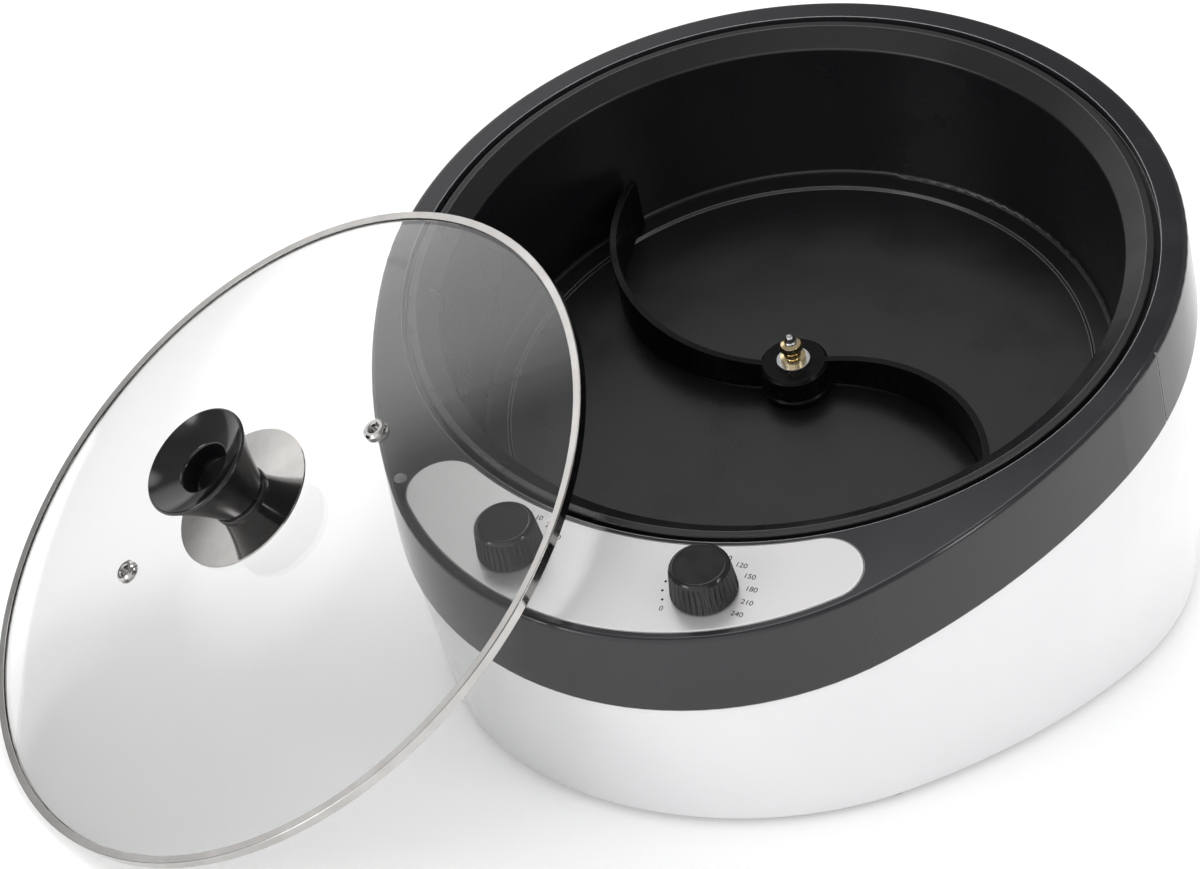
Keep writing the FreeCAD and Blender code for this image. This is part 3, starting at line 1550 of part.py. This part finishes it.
def make_lid_knob():
    plate = new_body("lid_knob_plate")
    on_lid(plate)
    hole, rim = Size(2.6), S.plate_radius
    low, high = GLASS_BALL, GLASS_BALL + S.plate_thick

    def on_ball(ball, radius):
        return radius, BALL_Z + root(ball * ball - radius * radius)

    section = [on_ball(low, hole), on_ball(low, rim), on_ball(high, rim), on_ball(high, hole)]
    turned(plate, "plate", section, {0: (low, -1), 2: (high, 1)})
    knob = new_body("lid_knob")
    on_lid(knob)
    _, foot = on_ball(high, S.grip_base)
    seat = GLASS_OUTER_TOP + S.plate_thick
    top, step = seat + S.grip_height, seat + S.grip_foot
    well = top - S.dish_depth
    base, neck, flare = S.grip_base, S.grip_neck, S.grip_top
    dish, lip = S.grip_dish, S.grip_lip
    section = [
        (Size(2.1), seat),
        (base, foot),
        (base, step - 0.4),
        (base - 0.4, step),
        (neck + 0.3, step),
        (flare - 0.2, top - lip),
        (flare - lip, top),
        (dish + 1.2, top - S.dish_drop),
        (dish, top - S.dish_drop - 1.6),
        (dish - 0.6, well),
        (ZERO, well),
        (ZERO, well - 2.6),
        (Size(2.1), well - 2.6),
    ]
    bends = {0: (high, -1), 4: (Size(140), -1), 5: (lip, 1), 6: (Size(60), -1), 7: (Size(1.6), 1)}
    turned(knob, "grip", section, bends)
    washer = new_body("lid_knob_washer")
    on_lid(washer)
    top = GLASS_INNER_TOP - 0.1
    tube(washer, "washer", Size(2.3), Size(8), top - 1, top)
    screw = new_body("lid_knob_screw")
    on_lid(screw)
    section = [
        (ZERO, top - 3.6),
        (Size(3.4), top - 3.6),
        (Size(4.6), top - 1),
        (Size(2), top - 1),
        (Size(2), well - 3.6),
        (ZERO, well - 3.6),
    ]
    turned(screw, "screw", section)


# ---------------------------------------------------------------- the whole machine


def circle_of_places(radius, count, first=0.0):
    places = []
    for k in range(count):
        turn = math.radians(first + 360.0 * k / count)
        places.append((radius * math.cos(turn), radius * math.sin(turn)))
    return places


MOTOR_SCREWS = circle_of_places(S.standoff_circle, STANDOFF_COUNT, 90.0)
SHIELD_SCREWS = circle_of_places((SEAT_RADIUS + OPENING_RADIUS) / 2 + 1.2, 6, 90.0)
INLET_Z = (S.inlet_height - DECK_HEIGHT - BACK_RADIUS * sine(S.deck_tilt)) / cosine(S.deck_tilt)
INLET_Y = BACK_RADIUS + HOUSING_OFFSET - (SKIRT_BOTTOM - INLET_Z) * tangent(S.housing_draft)

make_top_frame()
make_lower_housing()
make_base_plate()
make_feet()
make_base_screws()
make_frame_screws()
make_control_panel()
make_indicator()
make_cable_inlet()
make_terminal_block()
make_pan()
make_heating_element()
make_element_clamps()
make_thermal_cutout()
make_sensor_bulb()
make_heat_shield()
make_shield_screws()
make_bush()
make_motor()
make_drive_shaft()
make_drive_coupling()
make_stirrer()
make_shaft_nut()
make_dial("left", -1)
make_dial("right", 1)
make_switch("timer_body", "timer_nut", -1, S.timer_radius, S.timer_depth)
make_switch("thermostat_body", "thermostat_nut", 1, S.stat_radius, S.stat_depth)
make_lid_rim()
make_lid_glass()
make_vent_eyelets()
make_lid_knob()
doc.recompute()

for item in doc.Objects:
    if "Invalid" in item.State or "Error" in item.State:
        raise ValueError(f"{item.Label} failed: {item.State}")
for body in bodies:
    if body.Shape.isNull() or not body.Shape.isValid():
        raise ValueError(f"{body.Label} has no valid shape")

os.makedirs("parts", exist_ok=True)
for body in bodies:
    body.Shape.exportStep(f"parts/{body.Label}.step")
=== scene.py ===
"""Looks, light and camera for the home coffee bean roaster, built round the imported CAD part."""

import json
import math

import bmesh
import bpy
from mathutils import Matrix, Quaternion, Vector


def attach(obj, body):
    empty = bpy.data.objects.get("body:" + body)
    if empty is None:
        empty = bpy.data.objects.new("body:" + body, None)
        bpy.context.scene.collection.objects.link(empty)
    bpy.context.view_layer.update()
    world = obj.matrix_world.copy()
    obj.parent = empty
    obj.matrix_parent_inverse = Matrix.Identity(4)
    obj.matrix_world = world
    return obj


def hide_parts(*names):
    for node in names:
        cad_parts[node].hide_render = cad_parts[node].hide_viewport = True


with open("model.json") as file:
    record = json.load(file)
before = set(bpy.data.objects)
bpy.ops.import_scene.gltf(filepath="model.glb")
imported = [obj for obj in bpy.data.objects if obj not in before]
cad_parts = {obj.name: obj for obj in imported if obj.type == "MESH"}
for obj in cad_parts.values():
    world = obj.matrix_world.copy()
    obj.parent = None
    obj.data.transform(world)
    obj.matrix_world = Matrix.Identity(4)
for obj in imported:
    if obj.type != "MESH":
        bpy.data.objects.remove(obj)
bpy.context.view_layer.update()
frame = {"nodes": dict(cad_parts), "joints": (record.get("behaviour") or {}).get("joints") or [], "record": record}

NODES = frame["nodes"]
JOINTS = {joint["name"]: joint for joint in frame["joints"]}
MM = 0.001


# ---------------------------------------------------------------- the deck's own frame

DECK_ORIGIN = Vector(JOINTS["stirrer_spin"]["pos_m"])
DECK_NORMAL = Vector(JOINTS["stirrer_spin"]["axis"]).normalized()
DECK_RIGHT = Vector((1, 0, 0))
DECK_BACK = DECK_NORMAL.cross(DECK_RIGHT)


def height_over_deck(place):
    """How far a place lies along the deck's normal, from the pan's inner edge."""
    return (place - DECK_ORIGIN).dot(DECK_NORMAL)


def node_heights(node):
    """The heights over the deck of all corners of a CAD node."""
    return [height_over_deck(corner.co) for corner in NODES[node].data.vertices]


def on_axis(joint, height):
    """The place on a dial's axis that lies at a height over the deck."""
    centre = Vector(JOINTS[joint]["pos_m"])
    return centre + DECK_NORMAL * (height - height_over_deck(centre))


def outward(turn):
    """The direction in the deck's plane at an angle from the right, in radians."""
    return DECK_RIGHT * math.cos(turn) + DECK_BACK * math.sin(turn)


# ---------------------------------------------------------------- what the sections share

WHITE = (1, 1, 1, 1)


def add_object(name, data):
    added = bpy.data.objects.new(name, data)
    bpy.context.scene.collection.objects.link(added)
    return added


def mesh_from(build, name):
    """Turns a bmesh into a mesh and ends it."""
    mesh = bpy.data.meshes.new(name)
    build.to_mesh(mesh)
    build.free()
    return mesh


def add_node(tree, kind, **settings):
    added = tree.nodes.new(kind)
    for name, value in settings.items():
        setattr(added, name, value)
    return added


# ---------------------------------------------------------------- camera

CAMERA_FROM_PAN = Vector((411.4, -980.1, 523.1)) * MM
CAMERA_HEADING = math.radians(26.70)
CAMERA_DIP = math.radians(29.237)
CAMERA_ROLL = math.radians(-2.83)
# in millimetres, as Blender's cameras have them
SENSOR_WIDTH = 36
LENS = 90


def add_camera():
    """The photo's camera, solved from the ellipses of the pan, the deck and the lid."""
    data = bpy.data.cameras.new("camera")
    data.sensor_width = SENSOR_WIDTH
    data.lens = LENS
    camera = add_object("camera", data)
    forward = Vector((-math.sin(CAMERA_HEADING), math.cos(CAMERA_HEADING), 0)) * math.cos(CAMERA_DIP)
    forward.z = -math.sin(CAMERA_DIP)
    camera.rotation_mode = "QUATERNION"
    level = forward.to_track_quat("-Z", "Y")
    camera.rotation_quaternion = level @ Quaternion((0, 0, 1), CAMERA_ROLL)
    camera.location = DECK_ORIGIN + CAMERA_FROM_PAN
    bpy.context.scene.camera = camera


# ---------------------------------------------------------------- shader helpers

# the middle part of a noise texture's values, where most of them lie
NOISE_LOW = 0.35
NOISE_HIGH = 0.65
# how many rays find the normal of a rounded edge
EDGE_SAMPLES = 6
# the cosine of the angle between the rounded and the plain normal, on an edge and on open faces
EDGE_COSINE = 0.88
OPEN_COSINE = 0.995


class Shader:
    """A material with one Principled BSDF and the few node groups that the finishes share."""

    def __init__(self, name, **inputs):
        self.material = bpy.data.materials.new(name)
        self.material.use_nodes = True
        self.tree = self.material.node_tree
        self.bsdf = self.tree.nodes["Principled BSDF"]
        for socket, value in inputs.items():
            self.bsdf.inputs[socket.replace("_", " ")].default_value = value

    def node(self, kind, **settings):
        return add_node(self.tree, kind, **settings)

    def link(self, source, target):
        self.tree.links.new(source, target)

    def place(self, stretch):
        """Coordinates in metres in the part's own frame, stretched for grain."""
        coordinates = self.node("ShaderNodeTexCoord")
        mapping = self.node("ShaderNodeMapping")
        mapping.inputs["Scale"].default_value = stretch
        self.link(coordinates.outputs["Object"], mapping.inputs["Vector"])
        return mapping.outputs["Vector"]

    def noise(self, size, detail=3.0, stretch=(1, 1, 1)):
        """Noise whose blotches are about size metres wide."""
        texture = self.node("ShaderNodeTexNoise")
        texture.inputs["Scale"].default_value = 1 / size
        texture.inputs["Detail"].default_value = detail
        self.link(self.place(stretch), texture.inputs["Vector"])
        return texture.outputs["Fac"]

    def between(self, source, low, high, start=NOISE_LOW, stop=NOISE_HIGH):
        """Turns values from start to stop into values from low to high."""
        ranged = self.node("ShaderNodeMapRange")
        for socket, value in (("From Min", start), ("From Max", stop), ("To Min", low), ("To Max", high)):
            ranged.inputs[socket].default_value = value
        self.link(source, ranged.inputs["Value"])
        return ranged.outputs["Result"]

    def roughness(self, source, low, high):
        self.link(self.between(source, low, high), self.bsdf.inputs["Roughness"])

    def colour(self, share, low, high):
        """Base colour from low to high, by a share that goes from 0 to 1."""
        mix = self.node("ShaderNodeMix", data_type="RGBA")
        mix.inputs["A"].default_value = (*low, 1)
        mix.inputs["B"].default_value = (*high, 1)
        self.link(share, mix.inputs["Factor"])
        self.link(mix.outputs["Result"], self.bsdf.inputs["Base Color"])

    def blotches(self, size, low, high, detail=3.0):
        """Base colour that drifts from low to high in blotches about size metres wide."""
        self.colour(self.between(self.noise(size, detail), 0, 1), low, high)

    def soft_edges(self, radius):
        """Rounds the shading of sharp edges, as moulding and pressing do."""
        bevel = self.node("ShaderNodeBevel", samples=EDGE_SAMPLES)
        bevel.inputs["Radius"].default_value = radius
        return bevel.outputs["Normal"]

    def edge_highlight_share(self, radius):
        """1 on an edge and 0 on open faces, by how far the rounded normal leans; the finishes paint highlights
        along edges with it.
        """
        rounded = self.soft_edges(radius)
        plain = self.node("ShaderNodeNewGeometry")
        product = self.node("ShaderNodeVectorMath", operation="DOT_PRODUCT")
        self.link(rounded, product.inputs[0])
        self.link(plain.outputs["Normal"], product.inputs[1])
        return self.between(product.outputs["Value"], 1.0, 0.0, start=EDGE_COSINE, stop=OPEN_COSINE)

    def bump(self, source, depth, edges=0.0):
        """Raises the surface by depth metres with a texture, over rounded edges."""
        bump = self.node("ShaderNodeBump")
        bump.inputs["Distance"].default_value = depth
        bump.inputs["Strength"].default_value = 1.0
        self.link(source, bump.inputs["Height"])
        if edges:
            self.link(self.soft_edges(edges), bump.inputs["Normal"])
        self.link(bump.outputs["Normal"], self.bsdf.inputs["Normal"])


# ---------------------------------------------------------------- finishes


def black_frame_plastic():
    look = Shader("black_frame_plastic", IOR=1.5)
    look.roughness(look.noise(0.03), 0.10, 0.17)
    # Edges painted light grey: a painted highlight along the frame's edges.
    look.colour(look.edge_highlight_share(0.6 * MM), (0.019, 0.019, 0.0215), (0.42, 0.42, 0.435))
    look.bump(look.noise(0.0011, detail=2.0), 0.004 * MM, edges=0.5 * MM)
    return look.material


def white_housing_plastic():
    look = Shader("white_housing_plastic", IOR=1.5)
    look.roughness(look.noise(0.04), 0.10, 0.20)
    look.blotches(0.09, (0.86, 0.86, 0.875), (0.90, 0.90, 0.91))
    look.bump(look.noise(0.02, detail=1.0), 0.010 * MM, edges=0.6 * MM)
    return look.material


def moulded_plastic(name, low, high, shine=(0.45, 0.6)):
    look = Shader(name, IOR=1.5)
    look.roughness(look.noise(0.02), *shine)
    look.blotches(0.03, low, high)
    look.bump(look.noise(0.0009), 0.02 * MM, edges=0.3 * MM)
    return look.material


def metal(name, low, high, shine, stretch=(1, 1, 1)):
    look = Shader(name, Metallic=1.0)
    grain = look.noise(0.001, stretch=stretch)
    look.roughness(grain, *shine)
    look.blotches(0.015, low, high)
    look.bump(grain, 0.004 * MM, edges=0.2 * MM)
    return look.material


def satin_panel():
    """The silver of the control panel, with grain from side to side and a painted highlight along its edges."""
    look = Shader("satin_panel", Metallic=0.5, IOR=1.5)
    grain = look.noise(0.0004, stretch=(0.1, 1, 1))
    look.roughness(grain, 0.30, 0.36)
    # Edges painted near white: a painted highlight along the panel's rim.
    look.colour(look.edge_highlight_share(0.9 * MM), (0.59, 0.58, 0.585), (0.98, 0.98, 0.98))
    look.bump(grain, 0.0008 * MM, edges=0.3 * MM)
    return look.material


def nonstick_coating():
    look = Shader("nonstick_coating", IOR=1.5)
    look.roughness(look.noise(0.025), 0.26, 0.36)
    # Edges painted lighter: a painted highlight along the pan's ledge, lip and rims.
    look.colour(look.edge_highlight_share(0.7 * MM), (0.006, 0.006, 0.007), (0.20, 0.20, 0.205))
    look.bump(look.noise(0.0006, detail=2.0), 0.012 * MM, edges=0.5 * MM)
    return look.material


def blade_coating():
    look = Shader("blade_coating", IOR=1.45, Specular_IOR_Level=0.12)
    look.roughness(look.noise(0.012), 0.22, 0.34)
    # Edges painted a little lighter: a painted highlight along the blades' edges.
    look.colour(look.edge_highlight_share(0.3 * MM), (0.003, 0.003, 0.0035), (0.03, 0.03, 0.032))
    look.bump(look.noise(0.0008, detail=2.0), 0.01 * MM, edges=0.3 * MM)
    return look.material


def dial_plastic():
    look = Shader("dial_plastic", IOR=1.5)
    look.roughness(look.noise(0.006), 0.10, 0.20)
    # Edges painted lighter: a painted highlight along the dials' bevels and flutes.
    look.colour(look.edge_highlight_share(0.3 * MM), (0.008, 0.008, 0.009), (0.05, 0.05, 0.054))
    look.bump(look.noise(0.0007, detail=2.0), 0.004 * MM, edges=0.15 * MM)
    return look.material


def dial_face():
    """The satin disc in a dial's top."""
    look = Shader("dial_face", IOR=1.5, Specular_IOR_Level=0.2)
    look.roughness(look.noise(0.004), 0.35, 0.5)
    look.blotches(0.006, (0.008, 0.008, 0.009), (0.013, 0.013, 0.014))
    look.bump(look.noise(0.0004), 0.01 * MM)
    return look.material


def knob_phenolic():
    look = Shader("knob_phenolic", IOR=1.55)
    look.roughness(look.noise(0.01), 0.07, 0.15)
    look.blotches(0.02, (0.005, 0.005, 0.006), (0.010, 0.009, 0.009))
    look.bump(look.noise(0.006, detail=1.0), 0.01 * MM, edges=0.3 * MM)
    return look.material


def clear_glass():
    look = Shader("clear_glass", IOR=1.6, Transmission_Weight=1.0)
    look.roughness(look.noise(0.05), 0.0, 0.004)
    look.blotches(0.12, (0.975, 0.985, 0.975), (0.985, 0.99, 0.985))
    look.bump(look.noise(0.05, detail=1.0), 0.003 * MM)
    return look.material


def tinted_lens():
    look = Shader("tinted_lens", IOR=1.5, Transmission_Weight=0.5)
    look.roughness(look.noise(0.001), 0.05, 0.15)
    look.blotches(0.002, (0.42, 0.42, 0.45), (0.55, 0.55, 0.58))
    look.bump(look.noise(0.0015, detail=1.0), 0.01 * MM)
    return look.material


def soft_rubber():
    look = Shader("soft_rubber", IOR=1.45)
    look.roughness(look.noise(0.01), 0.55, 0.75)
    look.blotches(0.004, (0.018, 0.018, 0.018), (0.03, 0.03, 0.03), detail=4.0)
    look.bump(look.noise(0.0006), 0.02 * MM, edges=0.3 * MM)
    return look.material


def finishes():
    """The Blender material of each of the record's slots, and the one of the dials' faces."""
    steel_low, steel_high = (0.55, 0.55, 0.56), (0.66, 0.66, 0.66)
    return {
        "black_gloss_plastic": black_frame_plastic(),
        "white_gloss_plastic": white_housing_plastic(),
        "grey_plastic": moulded_plastic("base_plastic", (0.22, 0.22, 0.23), (0.26, 0.26, 0.27)),
        "rubber": soft_rubber(),
        "zinc_steel": metal("zinc_steel", (0.50, 0.51, 0.54), (0.62, 0.62, 0.63), (0.25, 0.42)),
        "satin_panel": satin_panel(),
        "lens_plastic": tinted_lens(),
        "lamp_glass": moulded_plastic("lamp_glass", (0.6, 0.45, 0.35), (0.7, 0.5, 0.4), (0.1, 0.2)),
        "nonstick": nonstick_coating(),
        "element_steel": metal("element_steel", (0.16, 0.15, 0.14), (0.30, 0.27, 0.24), (0.35, 0.5)),
        "switch_plastic": moulded_plastic("switch_plastic", (0.03, 0.028, 0.026), (0.05, 0.045, 0.04)),
        "brass": metal("brass", (0.80, 0.62, 0.33), (0.90, 0.75, 0.46), (0.12, 0.24)),
        "motor_steel": metal("motor_steel", steel_low, steel_high, (0.22, 0.38), (1, 1, 0.08)),
        "blade_black": blade_coating(),
        "dial_plastic": dial_plastic(),
        "dial_face": dial_face(),
        "rim_steel": metal("rim_steel", (0.50, 0.485, 0.47), (0.58, 0.565, 0.55), (0.04, 0.10)),
        "clear_glass": clear_glass(),
        "knob_black": knob_phenolic(),
    }


def dress_nodes(made):
    """Gives every CAD node the finish of its slot in the record."""
    for row in frame["record"]["subparts"]:
        mesh = NODES[row["node"]].data
        mesh.materials.clear()
        mesh.materials.append(made[row["material_slot"]])


# ---------------------------------------------------------------- scales printed on the panel

PRINT_LIFT = 0.05 * MM
PRINT_HEIGHT = max(node_heights("control_panel")) + PRINT_LIFT
DIGIT_HEIGHT = 2.2 * MM
# how high the digits of Blender's own font are for a size of 1
FONT_DIGIT = 0.7
LABEL_RADIUS = 16.8 * MM
DOT_CIRCLE = 15.3 * MM
DOT_RADIUS = 0.5 * MM
DOT_SIDES = 16
# the angle of each mark, in degrees from the right, with its number, or "" for a dot
HEAT_MARKS = [(224, "0")]
HEAT_MARKS += [(angle, "") for angle in (210, 194, 178, 162, 146, 130, 114)]
HEAT_MARKS += [(82, "90"), (60, "120"), (38, "150"), (17, "180"), (-4, "210"), (-25, "240")]
TIME_MARKS = [(96, "5"), (76, "10"), (56, "20"), (36, "30")]


def on_panel(joint, angle, radius):
    """A place on the panel's face, round a dial, for print that is upright from the front."""
    place = on_axis(joint, PRINT_HEIGHT) + outward(math.radians(angle)) * radius
    return Matrix.Translation(place) @ Matrix((DECK_RIGHT, DECK_BACK, DECK_NORMAL)).transposed().to_4x4()


def digits(text):
    """The flat outline of a number, as a mesh about its own middle."""
    curve = bpy.data.curves.new("digits", "FONT")
    curve.body = text
    curve.size = DIGIT_HEIGHT / FONT_DIGIT
    curve.align_x = "CENTER"
    curve.align_y = "CENTER"
    drawn = bpy.data.objects.new("digits", curve)
    mesh = bpy.data.meshes.new_from_object(drawn)
    bpy.data.objects.remove(drawn)
    return mesh


def dot():
    build = bmesh.new()
    bmesh.ops.create_circle(build, cap_ends=True, segments=DOT_SIDES, radius=DOT_RADIUS)
    return mesh_from(build, "dot")


def add_scale(name, joint, marks, ink):
    """Numbers and dots printed round a dial, as one piece."""
    build = bmesh.new()
    for angle, text in marks:
        mesh = digits(text) if text else dot()
        mesh.transform(on_panel(joint, angle, LABEL_RADIUS if text else DOT_CIRCLE))
        build.from_mesh(mesh)
        bpy.data.meshes.remove(mesh)
    printed = mesh_from(build, name)
    printed.materials.append(ink)
    piece = add_object(name, printed)
    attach(piece, "machine")


# ---------------------------------------------------------------- dials

FLUTES = 36
# corners of a dial's outline for each of its flutes
FLUTE_STEPS = 8
# in millimetres
FLUTE_DEPTH = 0.55
# under 1 the flutes have wide floors and narrow ridges between them
FLUTE_ROUNDNESS = 0.7
# radius and height of a dial's outline in millimetres, from inside its recess to its face, with
# how much of the flutes' depth is cut there
DIAL_OUTLINE = [
    (3.0, 3.0, 0),
    (9.5, 3.0, 0),
    (9.5, 0.0, 0),
    (12.0, 0.0, 0),
    (12.45, 0.5, 0.2),
    (12.42, 1.1, 1),
    (11.32, 11.9, 1),
    (11.2, 12.3, 0.2),
    (10.9, 12.75, 0),
    (9.9, 13.7, 0),
    (9.6, 13.8, 0),
    (9.3, 13.8, 0),
    (9.1, 13.55, 0),
    (0.4, 13.55, 0),
]
# how many bands at the outline's end have the face's finish
FACE_BANDS = 2
SHARP_EDGE = math.radians(35)


def flute_cut(step):
    """How deep the flutes are at one of the steps round a dial, from 0 to 1."""
    return abs(math.sin(math.pi * step / FLUTE_STEPS)) ** FLUTE_ROUNDNESS


def dial_mesh(name, foot):
    """The dial's outline turned about its axis, with its flutes. foot is the axis's lowest place."""
    around = FLUTES * FLUTE_STEPS
    build = bmesh.new()
    rings = []
    for radius, height, share in DIAL_OUTLINE:
        ring = []
        for step in range(around):
            reach = (radius - FLUTE_DEPTH * share * flute_cut(step)) * MM
            out = outward(2 * math.pi * step / around)
            ring.append(build.verts.new(foot + out * reach + DECK_NORMAL * height * MM))
        rings.append(ring)
    bands = list(zip(rings, rings[1:]))
    for number, (lower, upper) in enumerate(bands):
        for step in range(around):
            after = (step + 1) % around
            face = build.faces.new((lower[step], lower[after], upper[after], upper[step]))
            face.material_index = int(number >= len(bands) - FACE_BANDS)
    build.faces.new(rings[-1]).material_index = 1
    build.faces.new(list(reversed(rings[0])))
    build.normal_update()
    return mesh_from(build, name)


def add_dial(side, skirt, face):
    """A tapered dial with flutes over its whole height, a bevel and a disc set in its top."""
    body, node = f"{side}_dial", f"{side}_knob"
    name = f"{side}_fluted_dial"
    mesh = dial_mesh(name, on_axis(f"{side}_dial_turn", min(node_heights(node))))
    mesh.materials.append(skirt)
    mesh.materials.append(face)
    mesh.shade_smooth()
    mesh.set_sharp_from_angle(angle=SHARP_EDGE)
    piece = add_object(name, mesh)
    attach(piece, body)
    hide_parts(node)


# ---------------------------------------------------------------- studio

FLOOR_SIZE = 12
FLOOR_GREY = (0.66, 0.66, 0.66, 1)
FLOOR_GLOW = 0.34
WORLD_LIGHT = 1.0
# What shiny surfaces mirror instead of the white world: walls of this strength, with soft patches.
# A patch has its heading (degrees from the back towards the left), its height over the horizon, the
# angles within which it is full and outside which it ends, and what it adds to the walls. One that
# takes away is a dark patch. The last stands for the key softbox, which they don't mirror.
MIRRORED_WALL = 0.30
MIRRORED_PATCHES = [
    (46, 76, 7, 15, 2.2),
    (36, 64, 5, 13, -0.28),
    (58, 35, 11, 27, 1.0),
    (92, 32, 5, 13, 0.65),
    (180, 8, 20, 50, 0.85),
    (149, 19, 5, 13, 4.5),
]
# name, place in metres, width and height in metres, power in watts, whether shiny surfaces mirror
# it, and whether it is seen through glass
LAMPS = [
    ("top_softbox", (-0.22, 0.47, 2.0), (1.0, 1.0), 10, False, True),
    ("key_softbox", (-0.95, -1.55, 0.75), (0.9, 0.4), 9, False, False),
    ("right_strip", (1.6, -0.5, 1.1), (0.2, 1.0), 4, True, True),
]
LAMP_AIM = Vector((0, 0, 0.1))


def light_path_sum(tree, outputs):
    """1 for the rays named, and 0 for every other."""
    path = add_node(tree, "ShaderNodeLightPath")
    total = path.outputs[outputs[0]]
    for output in outputs[1:]:
        add = add_node(tree, "ShaderNodeMath", operation="ADD", use_clamp=True)
        tree.links.new(total, add.inputs[0])
        tree.links.new(path.outputs[output], add.inputs[1])
        total = add.outputs["Value"]
    return total


def add_floor():
    """A floor that looks white and keeps shadows. Its glow shows, but lights no matt surface."""
    bpy.ops.mesh.primitive_plane_add(size=FLOOR_SIZE)
    floor = bpy.context.object
    floor.name = "floor"
    look = Shader(
        "floor",
        Base_Color=FLOOR_GREY,
        Roughness=0.7,
        Specular_IOR_Level=0.1,
        Emission_Color=WHITE,
    )
    seen = light_path_sum(look.tree, ["Is Camera Ray", "Is Glossy Ray", "Is Transmission Ray"])
    glow = look.node("ShaderNodeMath", operation="MULTIPLY")
    glow.inputs[1].default_value = FLOOR_GLOW
    look.link(seen, glow.inputs[0])
    look.link(glow.outputs["Value"], look.bsdf.inputs["Emission Strength"])
    floor.data.materials.append(look.material)


def patch_strength(tree, direction, heading, height, full, end, strength):
    """What one mirrored patch adds to the walls, by the direction of a ray."""
    heading, height = math.radians(heading), math.radians(height)
    level = math.cos(height)
    centre = (-math.sin(heading) * level, math.cos(heading) * level, math.sin(height))
    toward = add_node(tree, "ShaderNodeVectorMath", operation="DOT_PRODUCT")
    toward.inputs[1].default_value = centre
    tree.links.new(direction, toward.inputs[0])
    ranged = add_node(tree, "ShaderNodeMapRange", interpolation_type="SMOOTHSTEP")
    ranged.inputs["From Min"].default_value = math.cos(math.radians(end))
    ranged.inputs["From Max"].default_value = math.cos(math.radians(full))
    ranged.inputs["To Max"].default_value = strength
    tree.links.new(toward.outputs["Value"], ranged.inputs["Value"])
    return ranged.outputs["Result"]


def mirrored_surroundings(tree):
    """The strength of the walls with all their patches."""
    direction = add_node(tree, "ShaderNodeTexCoord").outputs["Generated"]
    total = None
    for patch in MIRRORED_PATCHES:
        add = add_node(tree, "ShaderNodeMath", operation="ADD")
        tree.links.new(patch_strength(tree, direction, *patch), add.inputs[0])
        if total:
            tree.links.new(total, add.inputs[1])
        else:
            add.inputs[1].default_value = MIRRORED_WALL
        total = add.outputs["Value"]
    return total


def add_world():
    """A white studio, whose darker walls and patches show only in shiny surfaces."""
    world = bpy.data.worlds.new("studio")
    bpy.context.scene.world = world
    world.use_nodes = True
    tree = world.node_tree
    background = tree.nodes["Background"]
    background.inputs["Color"].default_value = WHITE
    strength = add_node(tree, "ShaderNodeMix")
    strength.inputs["A"].default_value = WORLD_LIGHT
    tree.links.new(light_path_sum(tree, ["Is Glossy Ray"]), strength.inputs["Factor"])
    tree.links.new(mirrored_surroundings(tree), strength.inputs["B"])
    tree.links.new(strength.outputs["Result"], background.inputs["Strength"])


def add_lamp(name, place, size, power, mirrored, through_glass):
    """A rectangular lamp that points at LAMP_AIM."""
    data = bpy.data.lights.new(name, "AREA")
    data.shape = "RECTANGLE"
    data.size, data.size_y = size
    data.energy = power
    lamp = add_object(name, data)
    lamp.location = place
    lamp.rotation_mode = "QUATERNION"
    lamp.rotation_quaternion = (LAMP_AIM - lamp.location).to_track_quat("-Z", "Y")
    lamp.visible_glossy = mirrored
    lamp.visible_transmission = through_glass


# ---------------------------------------------------------------- the scene

add_camera()
add_floor()
add_world()
for lamp in LAMPS:
    add_lamp(*lamp)
made = finishes()
dress_nodes(made)
add_scale("heat_scale", "right_dial_turn", HEAT_MARKS, made["dial_plastic"])
add_scale("time_scale", "left_dial_turn", TIME_MARKS, made["dial_plastic"])
for side in ("left", "right"):
    add_dial(side, made["dial_plastic"], made["dial_face"])
bpy.context.scene.view_settings.view_transform = "Standard"
